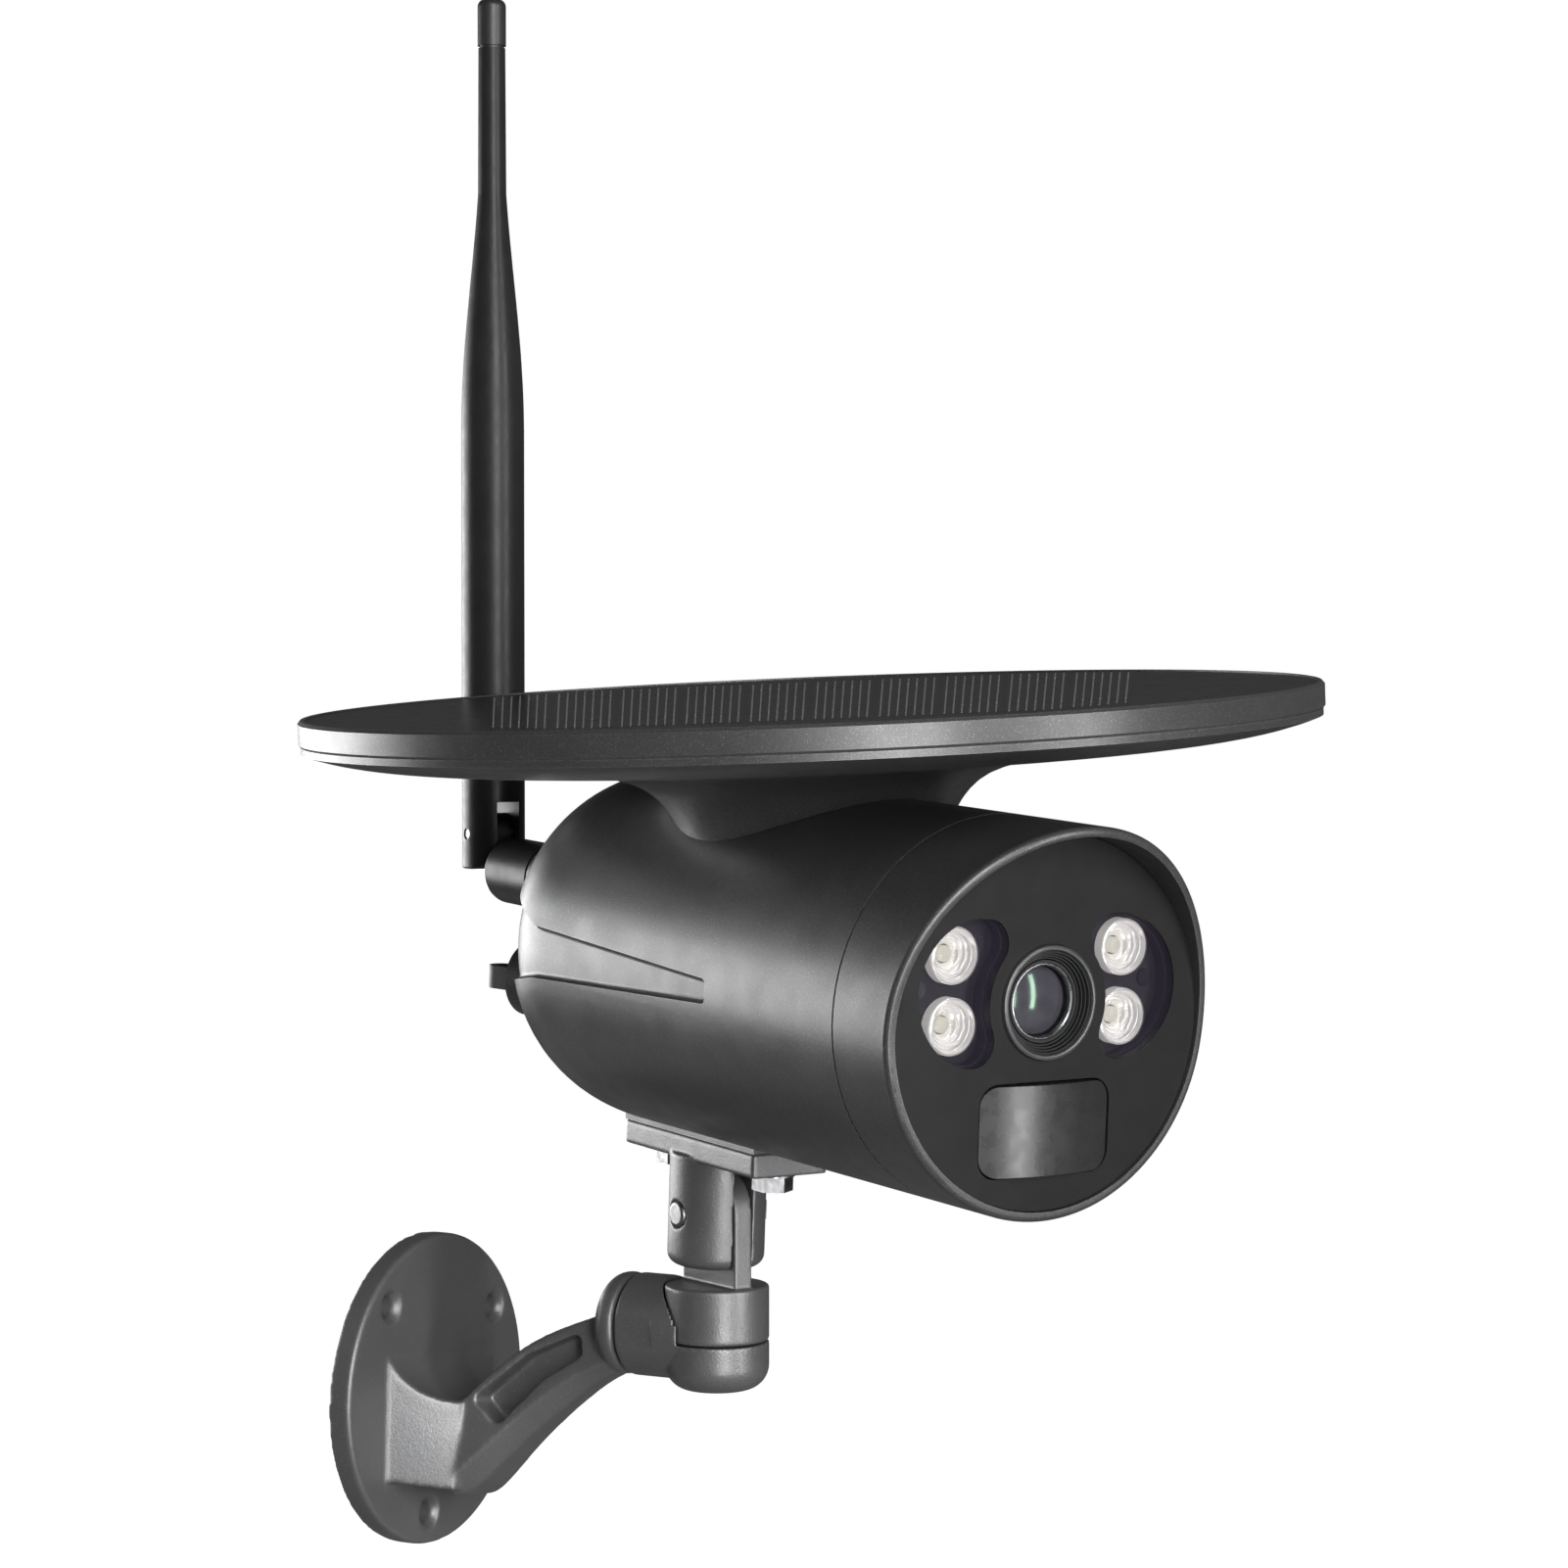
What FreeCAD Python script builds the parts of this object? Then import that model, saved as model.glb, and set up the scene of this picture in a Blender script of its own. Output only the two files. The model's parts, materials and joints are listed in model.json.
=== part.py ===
"""Solar security camera on a three-axis wall bracket, with a folding whip antenna.

Row frame: origin at the centre of the wall plate's back face, the wall is the plane Y = 0, the camera
stands out along -Y, +Z is up. Millimetres.

Working frames: the wall casting is drawn upright and then rolled a little about the wall's normal, as it is
screwed on. Elbow pieces are drawn in the plane X = 0 and moved sideways onto the casting's flange. Swivel
pieces are drawn about the vertical swivel axis and yawed. Head pieces are drawn with the tilt pivot at the
origin, the lens looking along -Y and the body level, then tilted, yawed and lifted onto the pivot.
"""

import FreeCAD, Part
import math
import os

V = FreeCAD.Vector
X_AXIS = V(1, 0, 0)
Y_AXIS = V(0, 1, 0)
Z_AXIS = V(0, 0, 1)

# ---- driving dimensions -------------------------------------------------------------------------------

# wall bracket
PLATE_R = 32.0
PLATE_T = 5.0
PLATE_EDGE = 0.8
WALL_HOLE_R = 2.3
WALL_HOLE_CIRCLE_R = 25.5
WALL_HOLE_SPREAD_DEG = 49.0
COUNTERSINK_R = 3.7
COUNTERSINK_DEPTH = 1.5
SCREW_RELIEF_R = 9.5
PEDESTAL_TOP_HALF = 20.6
PEDESTAL_LOW_HALF = 17.8
PEDESTAL_TOP = 10.2
PEDESTAL_BOTTOM = -18.6
PEDESTAL_REACH = 17.0
VALLEY_R = 12.0
BRACKET_ROLL = 7.6
ELBOW_AXIS_Z = 17.0
FLANGE_R = 10.3
FLANGE_FRONT = 51.54
FLANGE_T = 5.2
FLANGE_BACK_ROUND = 3.6
ARM_WEB_HALF = 2.4
ELBOW_BOLT_R = 2.5

# elbow, swivel and tilt
ELBOW_BACK = 52.04
ELBOW_SEAT = 3.7
SWIVEL_REACH = 70.30
CUP_R = 10.4
CUP_BOTTOM = 5.4
CUP_TOP = 15.0
POST_BOTTOM = 15.3
POST_TOP = 26.4
POST_GAP = 0.3
PIVOT_Z = 41.0
TONGUE_HALF = 2.0
TONGUE_R = 9.5
SLOT_HALF = 2.3
FORK_R = 9.7
FORK_BELOW = 10.6
BOLT_R = 2.0
RUNNING = 0.05
TOP_PLATE_BACK = 21.3
TOP_PLATE_FRONT = -25.3
TOP_PLATE_HALF = 8.75
TOP_PLATE_BOTTOM = 11.0
MOUNT_BOLT_INSET = 6.0
MOUNT_BOLT_YS = (TOP_PLATE_BACK - MOUNT_BOLT_INSET, TOP_PLATE_FRONT + MOUNT_BOLT_INSET)

# head attitude at rest
HEAD_YAW = 26.81
HEAD_TILT = 3.19

# body, measured in the head frame
BODY_R = 35.7
BODY_AXIS_Z = 51.57
LENS_Z = 55.06
BODY_BOTTOM = BODY_AXIS_Z - BODY_R
REAR_END = 41.9
DOME_LENGTH = 31.0
DOME_POWER = 2.57
WALL = 2.6
SEAM_Y = -88.5
SEAM_HALF = 0.25
RECESS_DEPTH = 1.2
RECESS_ROUND = 1.0
RECESS_TIP_R = 1.2
FACE_Y = -103.95
FACE_T = 2.2
RIM_Y = -104.75
HOOD_RISE = 10.7
HOOD_START = -5.35
RIM_WALL = 1.8
RING_Y = -104.86
RING_R = 10.35

# face optics
LED_X = 19.0
LED_UP = 6.0
LED_PITCH = 12.6
LED_R = 5.15
KIDNEY_X = 15.3
KIDNEY_UP = 5.7
KIDNEY_R = 13.15
KIDNEY_HOLLOW_R = 13.0
KIDNEY_HORN_R = 4.5
LED_FRONT_Y = -101.2
FLOOR_Y = -99.2
BOARD_Y = -97.2
PIR_HALF = 14.2
PIR_TOP = -10.9
PIR_BOTTOM = -27.1
PIR_CORNER = 3.6
PIR_BULGE = 2.2
DOT_X = 25.4
DOT_UP = 6.3
DOT_R = 1.6

# solar panel
PANEL_Y = -27.0
PANEL_Z = 103.85
PANEL_TILT = 2.8
PANEL_ROLL = 3.04
GLASS_R = 96.3
RIM_R = 97.8
RIM_H = 4.7
TRAY_WALL = 2.0
STEM_R = 25.5
STEM_SCREW_DEG = 54.0
STEM_SCREW_AHEAD = 1.5
SEAM_TURN_DEG = 77.0

# antenna
ANTENNA_X = -9.4
ANTENNA_Z = 61.69
BOSS_END = 50.5
COLLAR_R = 6.95
COLLAR_END = 67.8
HINGE_Y = 76.05
HINGE_Z = 68.77
WHIP_R = 6.65
WHIP_LENGTH = 176.0
WHIP_STRAIGHT = 85.3
WHIP_NECK = 135.1
WHIP_TIP_R = 2.85
TIP_GROOVE = 165.7
FORK_SLOT_TOP = 6.8
FORK_SLOT_HALF = 2.65
KNUCKLE_HALF = 2.5
PRONG_BELOW = 7.4

# rear port
PORT_X = -16.0
PORT_Y = 39.7
PORT_UP = -8.5
PORT_YAW = 17.0
PORT_HALF = 12.0
PORT_R = 5.5
PORT_RIM = 2.0
PORT_DEPTH = 11.0
PORT_WALL = 1.6
COVER_T = 2.0
COVER_LIP = 1.3
COVER_GAP = 0.3
BUTTON_R = 1.5
BUTTON_XS = (2.8, 7.2)
USB_X = -4.2
TAB_X = -8.8
TAB_REACH = 8.2

# sound
SPEAKER_Y = -58.0
MIC_Y = -93.0

# batteries
CELL_R = 9.2
CELL_L = 65.0
CELL_BACK = -14.0
CELL_HALF = 9.6
PACK_UP = -7.0

PARTS = {}


# ---- small helpers ------------------------------------------------------------------------------------

def cyl(radius, start, axis, length):
    return Part.makeCylinder(radius, length, V(*start), axis)


def box(low, high):
    size = [b - a for a, b in zip(low, high)]
    return Part.makeBox(size[0], size[1], size[2], V(*low))


def fuse_all(shapes):
    result = shapes[0].multiFuse(shapes[1:]) if len(shapes) > 1 else shapes[0]
    return result.removeSplitter()


def cut_all(shape, tools):
    for tool in tools:
        shape = shape.cut(tool)
    return shape


def polygon(points, closed=True):
    points = [V(*p) for p in points]
    if closed:
        points = points + [points[0]]
    return Part.makePolygon(points)


def spline(points, start_tangent=None, end_tangent=None):
    curve = Part.BSplineCurve()
    points = [V(*p) for p in points]
    if start_tangent is None:
        curve.interpolate(Points=points)
    else:
        curve.interpolate(Points=points, InitialTangent=start_tangent, FinalTangent=end_tangent)
    return curve.toShape()


def line(start, end):
    return Part.makeLine(V(*start), V(*end))


def prism(outline, direction):
    return Part.Face(outline).extrude(direction)


def turned_y(points, axis_z):
    """Solid of revolution about the horizontal line z = axis_z, from (radius, y) corners."""
    outline = polygon([(0, y, axis_z + r) for r, y in points])
    return Part.Face(outline).revolve(V(0, 0, axis_z), Y_AXIS, 360)


def spun(points):
    """Solid of revolution about Z, from (radius, z) corners."""
    outline = polygon([(r, 0, z) for r, z in points])
    return Part.Face(outline).revolve(V(0, 0, 0), Z_AXIS, 360)


def edges_where(shape, test):
    return [edge for edge in shape.Edges if not edge.Degenerated and test(edge)]


def circles(shape, test=lambda edge: True):
    """Round edges that pass a test."""
    return edges_where(shape, lambda edge: edge.Curve.TypeId == "Part::GeomCircle" and test(edge))


def long_edges(shape, direction):
    """Straight edges that run along a direction."""
    def along(edge):
        if edge.Curve.TypeId != "Part::GeomLine":
            return False
        return abs(edge.Curve.Direction.dot(direction)) > 0.999
    return edges_where(shape, along)


def mirrored(shape):
    return shape.mirror(V(0, 0, 0), X_AXIS)


def ring(outer, inner, start, axis, length):
    hole_start = V(*start) - axis
    return cyl(outer, start, axis, length).cut(Part.makeCylinder(inner, length + 2, hole_start, axis))


def hexagon(across_flats, start, axis, length):
    """Hexagonal prism, made as six flats cut on a round bar."""
    bar = cyl(across_flats / math.sqrt(3), start, axis, length)
    side = X_AXIS if abs(axis.x) < 0.5 else Y_AXIS
    for step in range(6):
        normal = FreeCAD.Rotation(axis, 60 * step).multVec(side)
        slab = Part.makeBox(across_flats * 2, across_flats * 2, length + 2,
                            V(-across_flats, -across_flats, -1))
        slab.Placement = FreeCAD.Placement(V(*start) + normal * (across_flats * 1.5),
                                           flat_rotation(axis, normal))
        bar = bar.cut(slab)
    return bar


def flat_rotation(axis, normal):
    """Rotation that takes Z to the bar's axis and X to the flat's normal."""
    return FreeCAD.Rotation(normal, axis.cross(normal), axis, "ZXY")


def placed(shape, placement):
    return shape.transformed(placement.toMatrix(), copy=True)


ARM_RISE = ELBOW_AXIS_Z / math.cos(math.radians(BRACKET_ROLL))
ELBOW_X = ELBOW_AXIS_Z * math.tan(math.radians(BRACKET_ROLL))

CASTING = FreeCAD.Placement(V(0, 0, 0), FreeCAD.Rotation(Y_AXIS, BRACKET_ROLL))
ELBOW = FreeCAD.Placement(V(ELBOW_X, 0, 0), FreeCAD.Rotation())
SWIVEL = FreeCAD.Placement(V(ELBOW_X, -SWIVEL_REACH, 0), FreeCAD.Rotation(Z_AXIS, -HEAD_YAW))
HEAD = FreeCAD.Placement(V(ELBOW_X, -SWIVEL_REACH, PIVOT_Z),
                         FreeCAD.Rotation(Z_AXIS, -HEAD_YAW).multiply(FreeCAD.Rotation(X_AXIS, HEAD_TILT)))
PANEL_TURN = FreeCAD.Rotation(X_AXIS, -PANEL_TILT).multiply(FreeCAD.Rotation(Y_AXIS, -PANEL_ROLL))
PANEL = FreeCAD.Placement(V(0, PANEL_Y, PANEL_Z), PANEL_TURN)
PORT = FreeCAD.Placement(V(PORT_X, PORT_Y, BODY_AXIS_Z + PORT_UP), FreeCAD.Rotation(Z_AXIS, PORT_YAW))
WHIP = FreeCAD.Placement(V(ANTENNA_X, HINGE_Y, HINGE_Z), FreeCAD.Rotation(X_AXIS, -HEAD_TILT))


def casting(name, shape):
    PARTS[name] = placed(shape, CASTING)


def elbow(name, shape):
    PARTS[name] = placed(shape, ELBOW)


def swivel(name, shape):
    PARTS[name] = placed(shape, SWIVEL)


def head(name, shape):
    PARTS[name] = placed(shape, HEAD)


def panel(name, shape):
    head(name, placed(shape, PANEL))


def port(name, shape):
    head(name, placed(shape, PORT))


# ---- wall bracket -------------------------------------------------------------------------------------

def wall_hole_places():
    """One hole at the foot of the plate and two spread about its top."""
    for angle in (-WALL_HOLE_SPREAD_DEG, WALL_HOLE_SPREAD_DEG, 180):
        yield (WALL_HOLE_CIRCLE_R * math.sin(math.radians(angle)),
               WALL_HOLE_CIRCLE_R * math.cos(math.radians(angle)))


def arm_section(reach, top, ridge, keel, half_top, half_ridge, half_keel):
    """Six-sided section of the cast arm, in a plane parallel to the wall."""
    return polygon([(-half_top, -reach, top), (half_top, -reach, top), (half_ridge, -reach, ridge),
                    (half_keel, -reach, keel), (-half_keel, -reach, keel), (-half_ridge, -reach, ridge)])


def make_pedestal():
    """Flared foot between plate and arm, scooped above so that two horns stand beside the arm."""
    inner = PLATE_T - 1
    foot = Part.makeLoft([
        polygon([(-PEDESTAL_LOW_HALF, -inner, PEDESTAL_BOTTOM), (-PEDESTAL_TOP_HALF, -inner, PEDESTAL_TOP),
                 (PEDESTAL_TOP_HALF, -inner, PEDESTAL_TOP), (PEDESTAL_LOW_HALF, -inner, PEDESTAL_BOTTOM)]),
        polygon([(-9.5, -PEDESTAL_REACH, -19.5), (-9.5, -PEDESTAL_REACH, -1.5),
                 (9.5, -PEDESTAL_REACH, -1.5), (9.5, -PEDESTAL_REACH, -19.5)])], True, True)
    return foot.cut(cyl(VALLEY_R, (-30, -16.5, 10.6), X_AXIS, 60))


def make_flange():
    centre = (0, FLANGE_T - FLANGE_FRONT, ARM_RISE)
    flange = cyl(FLANGE_R, centre, V(0, -1, 0), FLANGE_T)
    back_edge = circles(flange, lambda e: e.CenterOfMass.y > 0.1 - FLANGE_FRONT)
    flange = flange.makeFillet(FLANGE_BACK_ROUND, back_edge)
    front_edge = circles(flange, lambda e: e.CenterOfMass.y < 0.1 - FLANGE_FRONT)
    return flange.makeFillet(0.9, front_edge)


def wall_screw_cuts():
    low_x, low_z = min(wall_hole_places(), key=lambda place: place[1])
    cuts = [cyl(SCREW_RELIEF_R, (low_x, -PLATE_T, low_z), V(0, -1, 0), 9.0)]
    for x, z in wall_hole_places():
        cuts.append(cyl(WALL_HOLE_R, (x, 1, z), V(0, -1, 0), PLATE_T + 2))
        cuts.append(Part.makeCone(WALL_HOLE_R, COUNTERSINK_R, COUNTERSINK_DEPTH + 0.1,
                                  V(x, COUNTERSINK_DEPTH - PLATE_T, z), V(0, -1, 0)))
        cuts.append(cyl(COUNTERSINK_R, (x, -PLATE_T, z), V(0, -1, 0), 8))
    return cuts


def make_bracket_arm():
    plate = cyl(PLATE_R, (0, 0, 0), V(0, -1, 0), PLATE_T)
    rim = circles(plate, lambda e: e.CenterOfMass.y < -1)
    plate = plate.makeFillet(PLATE_EDGE, rim)

    # reach, top, ridge, keel, half widths at top, ridge and keel
    sections = [(14.6, -3.2, -18.6, -20.8, 9.0, 10.2, 6.6),
                (20.0, 2.4, -12.8, -18.4, 8.0, 9.2, 5.4),
                (26.6, 8.6, -6.2, -11.6, 6.9, 8.0, 4.2),
                (33.7, 13.3, 0.3, -4.6, 6.0, 7.0, 3.4),
                (40.9, 16.5, 5.4, 1.6, 5.4, 6.3, 3.0),
                (48.4, 19.6, 9.0, 6.6, 5.2, 6.0, 3.0)]
    arm = Part.makeLoft([arm_section(*s) for s in sections], True, False)
    body = fuse_all([plate, make_pedestal(), arm, make_flange()])

    pocket_corners = [(18.9, -0.6), (24.9, -5.6), (34.3, 4.6), (42.6, 9.9), (41.6, 14.4), (29.9, 9.0)]
    pocket = prism(polygon([(-14, -reach, z) for reach, z in pocket_corners]), V(14 - ARM_WEB_HALF, 0, 0))
    pocket = pocket.makeFillet(1.3, long_edges(pocket, X_AXIS))
    bolt_bore = cyl(ELBOW_BOLT_R + RUNNING, (0, 6.8 - FLANGE_FRONT, ARM_RISE), V(0, -1, 0), 10)
    return cut_all(body, [pocket, mirrored(pocket), bolt_bore] + wall_screw_cuts())


def make_elbow_cup():
    """Cup that carries the swivel, with the short horizontal barrel that turns against the arm's flange."""
    barrel = cyl(FLANGE_R, (0, -ELBOW_BACK, ELBOW_AXIS_Z), V(0, -1, 0), SWIVEL_REACH - ELBOW_BACK)
    end = circles(barrel, lambda e: e.CenterOfMass.y > -ELBOW_BACK - 0.1)
    barrel = barrel.makeFillet(0.9, end)
    for side in (-1, 1):
        facet = box((min(side * 9.75, side * 12), -ELBOW_BACK - 8.7, 13.6),
                    (max(side * 9.75, side * 12), 1 - ELBOW_BACK, 30))
        barrel = barrel.cut(facet)
    cup = cyl(CUP_R, (0, -SWIVEL_REACH, CUP_BOTTOM), Z_AXIS, CUP_TOP - CUP_BOTTOM)
    low = circles(cup, lambda e: e.CenterOfMass.z < CUP_BOTTOM + 0.1)
    cup = cup.makeFillet(5.0, low)
    saddle = cyl(CUP_R + POST_GAP, (0, -SWIVEL_REACH, CUP_TOP), Z_AXIS, 20)
    body = fuse_all([barrel, cup]).cut(saddle)
    tools = [cyl(ELBOW_BOLT_R + RUNNING, (0, 1 - ELBOW_BACK, ELBOW_AXIS_Z), V(0, -1, 0), 12),
             cyl(4.5, (0, -ELBOW_BACK - ELBOW_SEAT, ELBOW_AXIS_Z), V(0, -1, 0), 8),
             cyl(BOLT_R + RUNNING, (0, -SWIVEL_REACH, 0), Z_AXIS, 20),
             cyl(3.9, (0, -SWIVEL_REACH, 0), Z_AXIS, 8.2)]
    return cut_all(body, tools)


def make_elbow_bolt():
    shank = cyl(ELBOW_BOLT_R, (0, 6.3 - FLANGE_FRONT, ELBOW_AXIS_Z), V(0, -1, 0), 11)
    cap_start = -ELBOW_BACK - ELBOW_SEAT - 0.05
    cap = cyl(4.2, (0, cap_start, ELBOW_AXIS_Z), V(0, -1, 0), 2.9)
    socket = hexagon(3.0, (0, cap_start - 1.4, ELBOW_AXIS_Z), V(0, -1, 0), 3)
    return fuse_all([shank, cap]).cut(socket)


def build_wall_bracket():
    casting("bracket_arm", make_bracket_arm())
    elbow("elbow_bolt", make_elbow_bolt())
    washer_t = ELBOW_BACK - FLANGE_FRONT
    elbow("elbow_washer", ring(9.4, 2.7, (0, -FLANGE_FRONT, ELBOW_AXIS_Z), V(0, -1, 0), washer_t))
    elbow("elbow_cup", make_elbow_cup())


# ---- swivel post --------------------------------------------------------------------------------------

def make_swivel_post():
    post = cyl(CUP_R, (0, 0, POST_BOTTOM), Z_AXIS, POST_TOP - POST_BOTTOM)
    ends = circles(post)
    post = post.makeFillet(0.6, ends)
    blade = box((-TONGUE_HALF, -TONGUE_R, POST_TOP - 2), (TONGUE_HALF, TONGUE_R, PIVOT_Z))
    top = cyl(TONGUE_R, (-TONGUE_HALF, 0, PIVOT_Z), X_AXIS, 2 * TONGUE_HALF)
    body = fuse_all([post, blade, top])
    return cut_all(body, [cyl(BOLT_R + RUNNING, (-5, 0, PIVOT_Z), X_AXIS, 10),
                          cyl(BOLT_R + RUNNING, (0, 0, POST_BOTTOM - 1), Z_AXIS, 8.5)])


def make_pan_screw():
    shank = cyl(BOLT_R, (0, 0, 6.0), Z_AXIS, 16)
    cap = cyl(3.6, (0, 0, 5.9), Z_AXIS, 2.2)
    socket = hexagon(2.5, (0, 0, 5.0), Z_AXIS, 2.2)
    return fuse_all([shank, cap]).cut(socket)


def build_swivel():
    swivel("swivel_post", make_swivel_post())
    swivel("pan_screw", make_pan_screw())
    swivel("pan_washer", ring(8.0, 2.2, (0, 0, CUP_TOP + 0.02), Z_AXIS, POST_BOTTOM - CUP_TOP - 0.04))


# ---- tilt fork ----------------------------------------------------------------------------------------

def make_mount_fork():
    ears = cyl(FORK_R, (0, 0, -FORK_BELOW), Z_AXIS, FORK_BELOW + TOP_PLATE_BOTTOM + 1)
    low = circles(ears, lambda e: e.CenterOfMass.z < -FORK_BELOW + 0.1)
    ears = ears.makeFillet(2.4, low)
    ears = ears.cut(box((-SLOT_HALF, -20, -20), (SLOT_HALF, 20, TOP_PLATE_BOTTOM)))
    plate = box((-TOP_PLATE_HALF, TOP_PLATE_FRONT, TOP_PLATE_BOTTOM),
                (TOP_PLATE_HALF, TOP_PLATE_BACK, BODY_BOTTOM))
    plate = plate.makeFillet(0.7, long_edges(plate, Z_AXIS) + long_edges(plate, Y_AXIS)[:2])
    tools = [cyl(BOLT_R + RUNNING, (-15, 0, 0), X_AXIS, 30),
             cyl(2.75, (-8.4, 0, 0), V(-1, 0, 0), 5),
             cyl(3.9, (7.2, 0, 0), X_AXIS, 5)]
    tools += [cyl(BOLT_R + 0.2, (0, y, 5), Z_AXIS, 15) for y in MOUNT_BOLT_YS]
    return cut_all(fuse_all([ears, plate]), tools)


def make_pivot_bolt():
    shank = cyl(BOLT_R, (-8.4, 0, 0), X_AXIS, 18.0)
    cap = cyl(2.65, (-9.9, 0, 0), X_AXIS, 1.5)
    outer = circles(cap, lambda e: e.CenterOfMass.x < -9.8)
    return fuse_all([shank, cap.makeFillet(0.8, outer)])


def make_mount_bolt(y):
    cap = hexagon(7.0, (0, y, TOP_PLATE_BOTTOM - 3.6), Z_AXIS, 3.0)
    washer = ring(4.4, 2.1, (0, y, TOP_PLATE_BOTTOM - 0.6), Z_AXIS, 0.6)
    shank = cyl(BOLT_R, (0, y, TOP_PLATE_BOTTOM - 2), Z_AXIS, 14)
    return fuse_all([cap, washer, shank])


def build_tilt_fork():
    head("mount_fork", make_mount_fork())
    head("pivot_bolt", make_pivot_bolt())
    nut = hexagon(6.2, (7.25, 0, 0), X_AXIS, 2.6).cut(cyl(BOLT_R + RUNNING, (0, 0, 0), X_AXIS, 20))
    head("pivot_nut", nut)
    washers = [ring(6.0, 2.1, (side * (TONGUE_HALF + 0.15) - 0.1, 0, 0), X_AXIS, 0.2) for side in (-1, 1)]
    head("pivot_washers", Part.makeCompound(washers))
    head("mount_bolts", Part.makeCompound([make_mount_bolt(y) for y in MOUNT_BOLT_YS]))


# ---- housing ------------------------------------------------------------------------------------------

def dome_outline(inset):
    """(radius, y) points of the rear dome's super-ellipse, shrunk by an inset, from rim to pole."""
    radius = BODY_R - inset
    length = DOME_LENGTH - inset
    start = REAR_END - DOME_LENGTH
    for step in range(13):
        t = math.pi / 2 * step / 12
        r = radius * math.cos(t) ** (2 / DOME_POWER)
        y = start + length * math.sin(t) ** (2 / DOME_POWER)
        yield r, y


def body_solid(inset, front_y, flank_points=0):
    """The round body with its rear dome, shrunk by an inset, from front_y to the rear.

    Flank points join the straight flank to the dome in one curve, so that cuts can be rounded across both.
    """
    dome = list(dome_outline(inset))
    first_r, first_y = dome[0]
    last_r, last_y = dome[-1]
    flank = [(first_r, front_y + (first_y - front_y) * step / flank_points) for step in range(flank_points)]
    curve = spline([(0, y, BODY_AXIS_Z + r) for r, y in flank + dome], Y_AXIS, V(0, 0, -1))
    front_edge = (0, front_y, BODY_AXIS_Z + first_r)
    edges = [line((0, front_y, BODY_AXIS_Z), front_edge),
             curve,
             line((0, last_y, BODY_AXIS_Z), (0, front_y, BODY_AXIS_Z))]
    if not flank:
        edges.insert(1, line(front_edge, (0, first_y, BODY_AXIS_Z + first_r)))
    return Part.Face(Part.Wire(edges)).revolve(V(0, 0, BODY_AXIS_Z), Y_AXIS, 360)


def side_recess():
    """Shallow wedge-shaped recess along the flank, flaring at the rear."""
    ahead = -47.4
    outline = [(ahead, 2.3), (15.0, 5.4), (27.0, 10.0), (36.0, 20.0), (60.0, 40.0), (60.0, -12.0),
               (28.0, -7.2), (15.0, -5.0), (ahead, -2.3)]
    wire = polygon([(-60, y, BODY_AXIS_Z + up) for y, up in outline])
    wedge = prism(wire, V(60, 0, 0))
    tip = edges_where(wedge, lambda e: abs(e.CenterOfMass.y - ahead) < 0.1 and e.Length > 30)
    wedge = wedge.makeFillet(RECESS_TIP_R, tip).cut(body_solid(RECESS_DEPTH, -100, flank_points=6))

    def round_the_floor(edge):
        return edge.Curve.TypeId != "Part::GeomLine" and -50 < edge.CenterOfMass.x < -1

    return wedge.makeFillet(RECESS_ROUND, edges_where(wedge, round_the_floor))


def stadium(half, radius, y0, y1, x=0.0):
    """Prism along Y with round ends, centred on x at height zero."""
    straight = half - radius
    middle = box((x - straight, y0, -radius), (x + straight, y1, radius))
    ends = [cyl(radius, (x + s * straight, y0, 0), Y_AXIS, y1 - y0) for s in (-1, 1)]
    return fuse_all([middle] + ends)


def stem_screw_frame(side):
    """Axis of a stem screw: radial to the body, through the stem's lobe."""
    angle = math.radians(STEM_SCREW_DEG)
    outward = V(side * math.cos(angle), 0, math.sin(angle))
    return outward, V(0, PANEL_Y - STEM_SCREW_AHEAD, BODY_AXIS_Z)


def port_tools():
    """Cuts behind the rear cover: its seat, the pocket, the socket's slot and the button holes."""
    tools = [stadium(PORT_HALF + COVER_GAP, PORT_R + COVER_GAP, -COVER_T - COVER_GAP, 20),
             stadium(PORT_HALF - PORT_WALL, PORT_R - PORT_WALL, -PORT_DEPTH, 20),
             stadium(4.6, 1.8, -PORT_DEPTH - 5, -PORT_DEPTH + 1, USB_X)]
    for x in BUTTON_XS:
        tools.append(cyl(BUTTON_R + 0.15, (x, -PORT_DEPTH - 5, 0), Y_AXIS, 6))
    return [placed(tool, PORT) for tool in tools]


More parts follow.
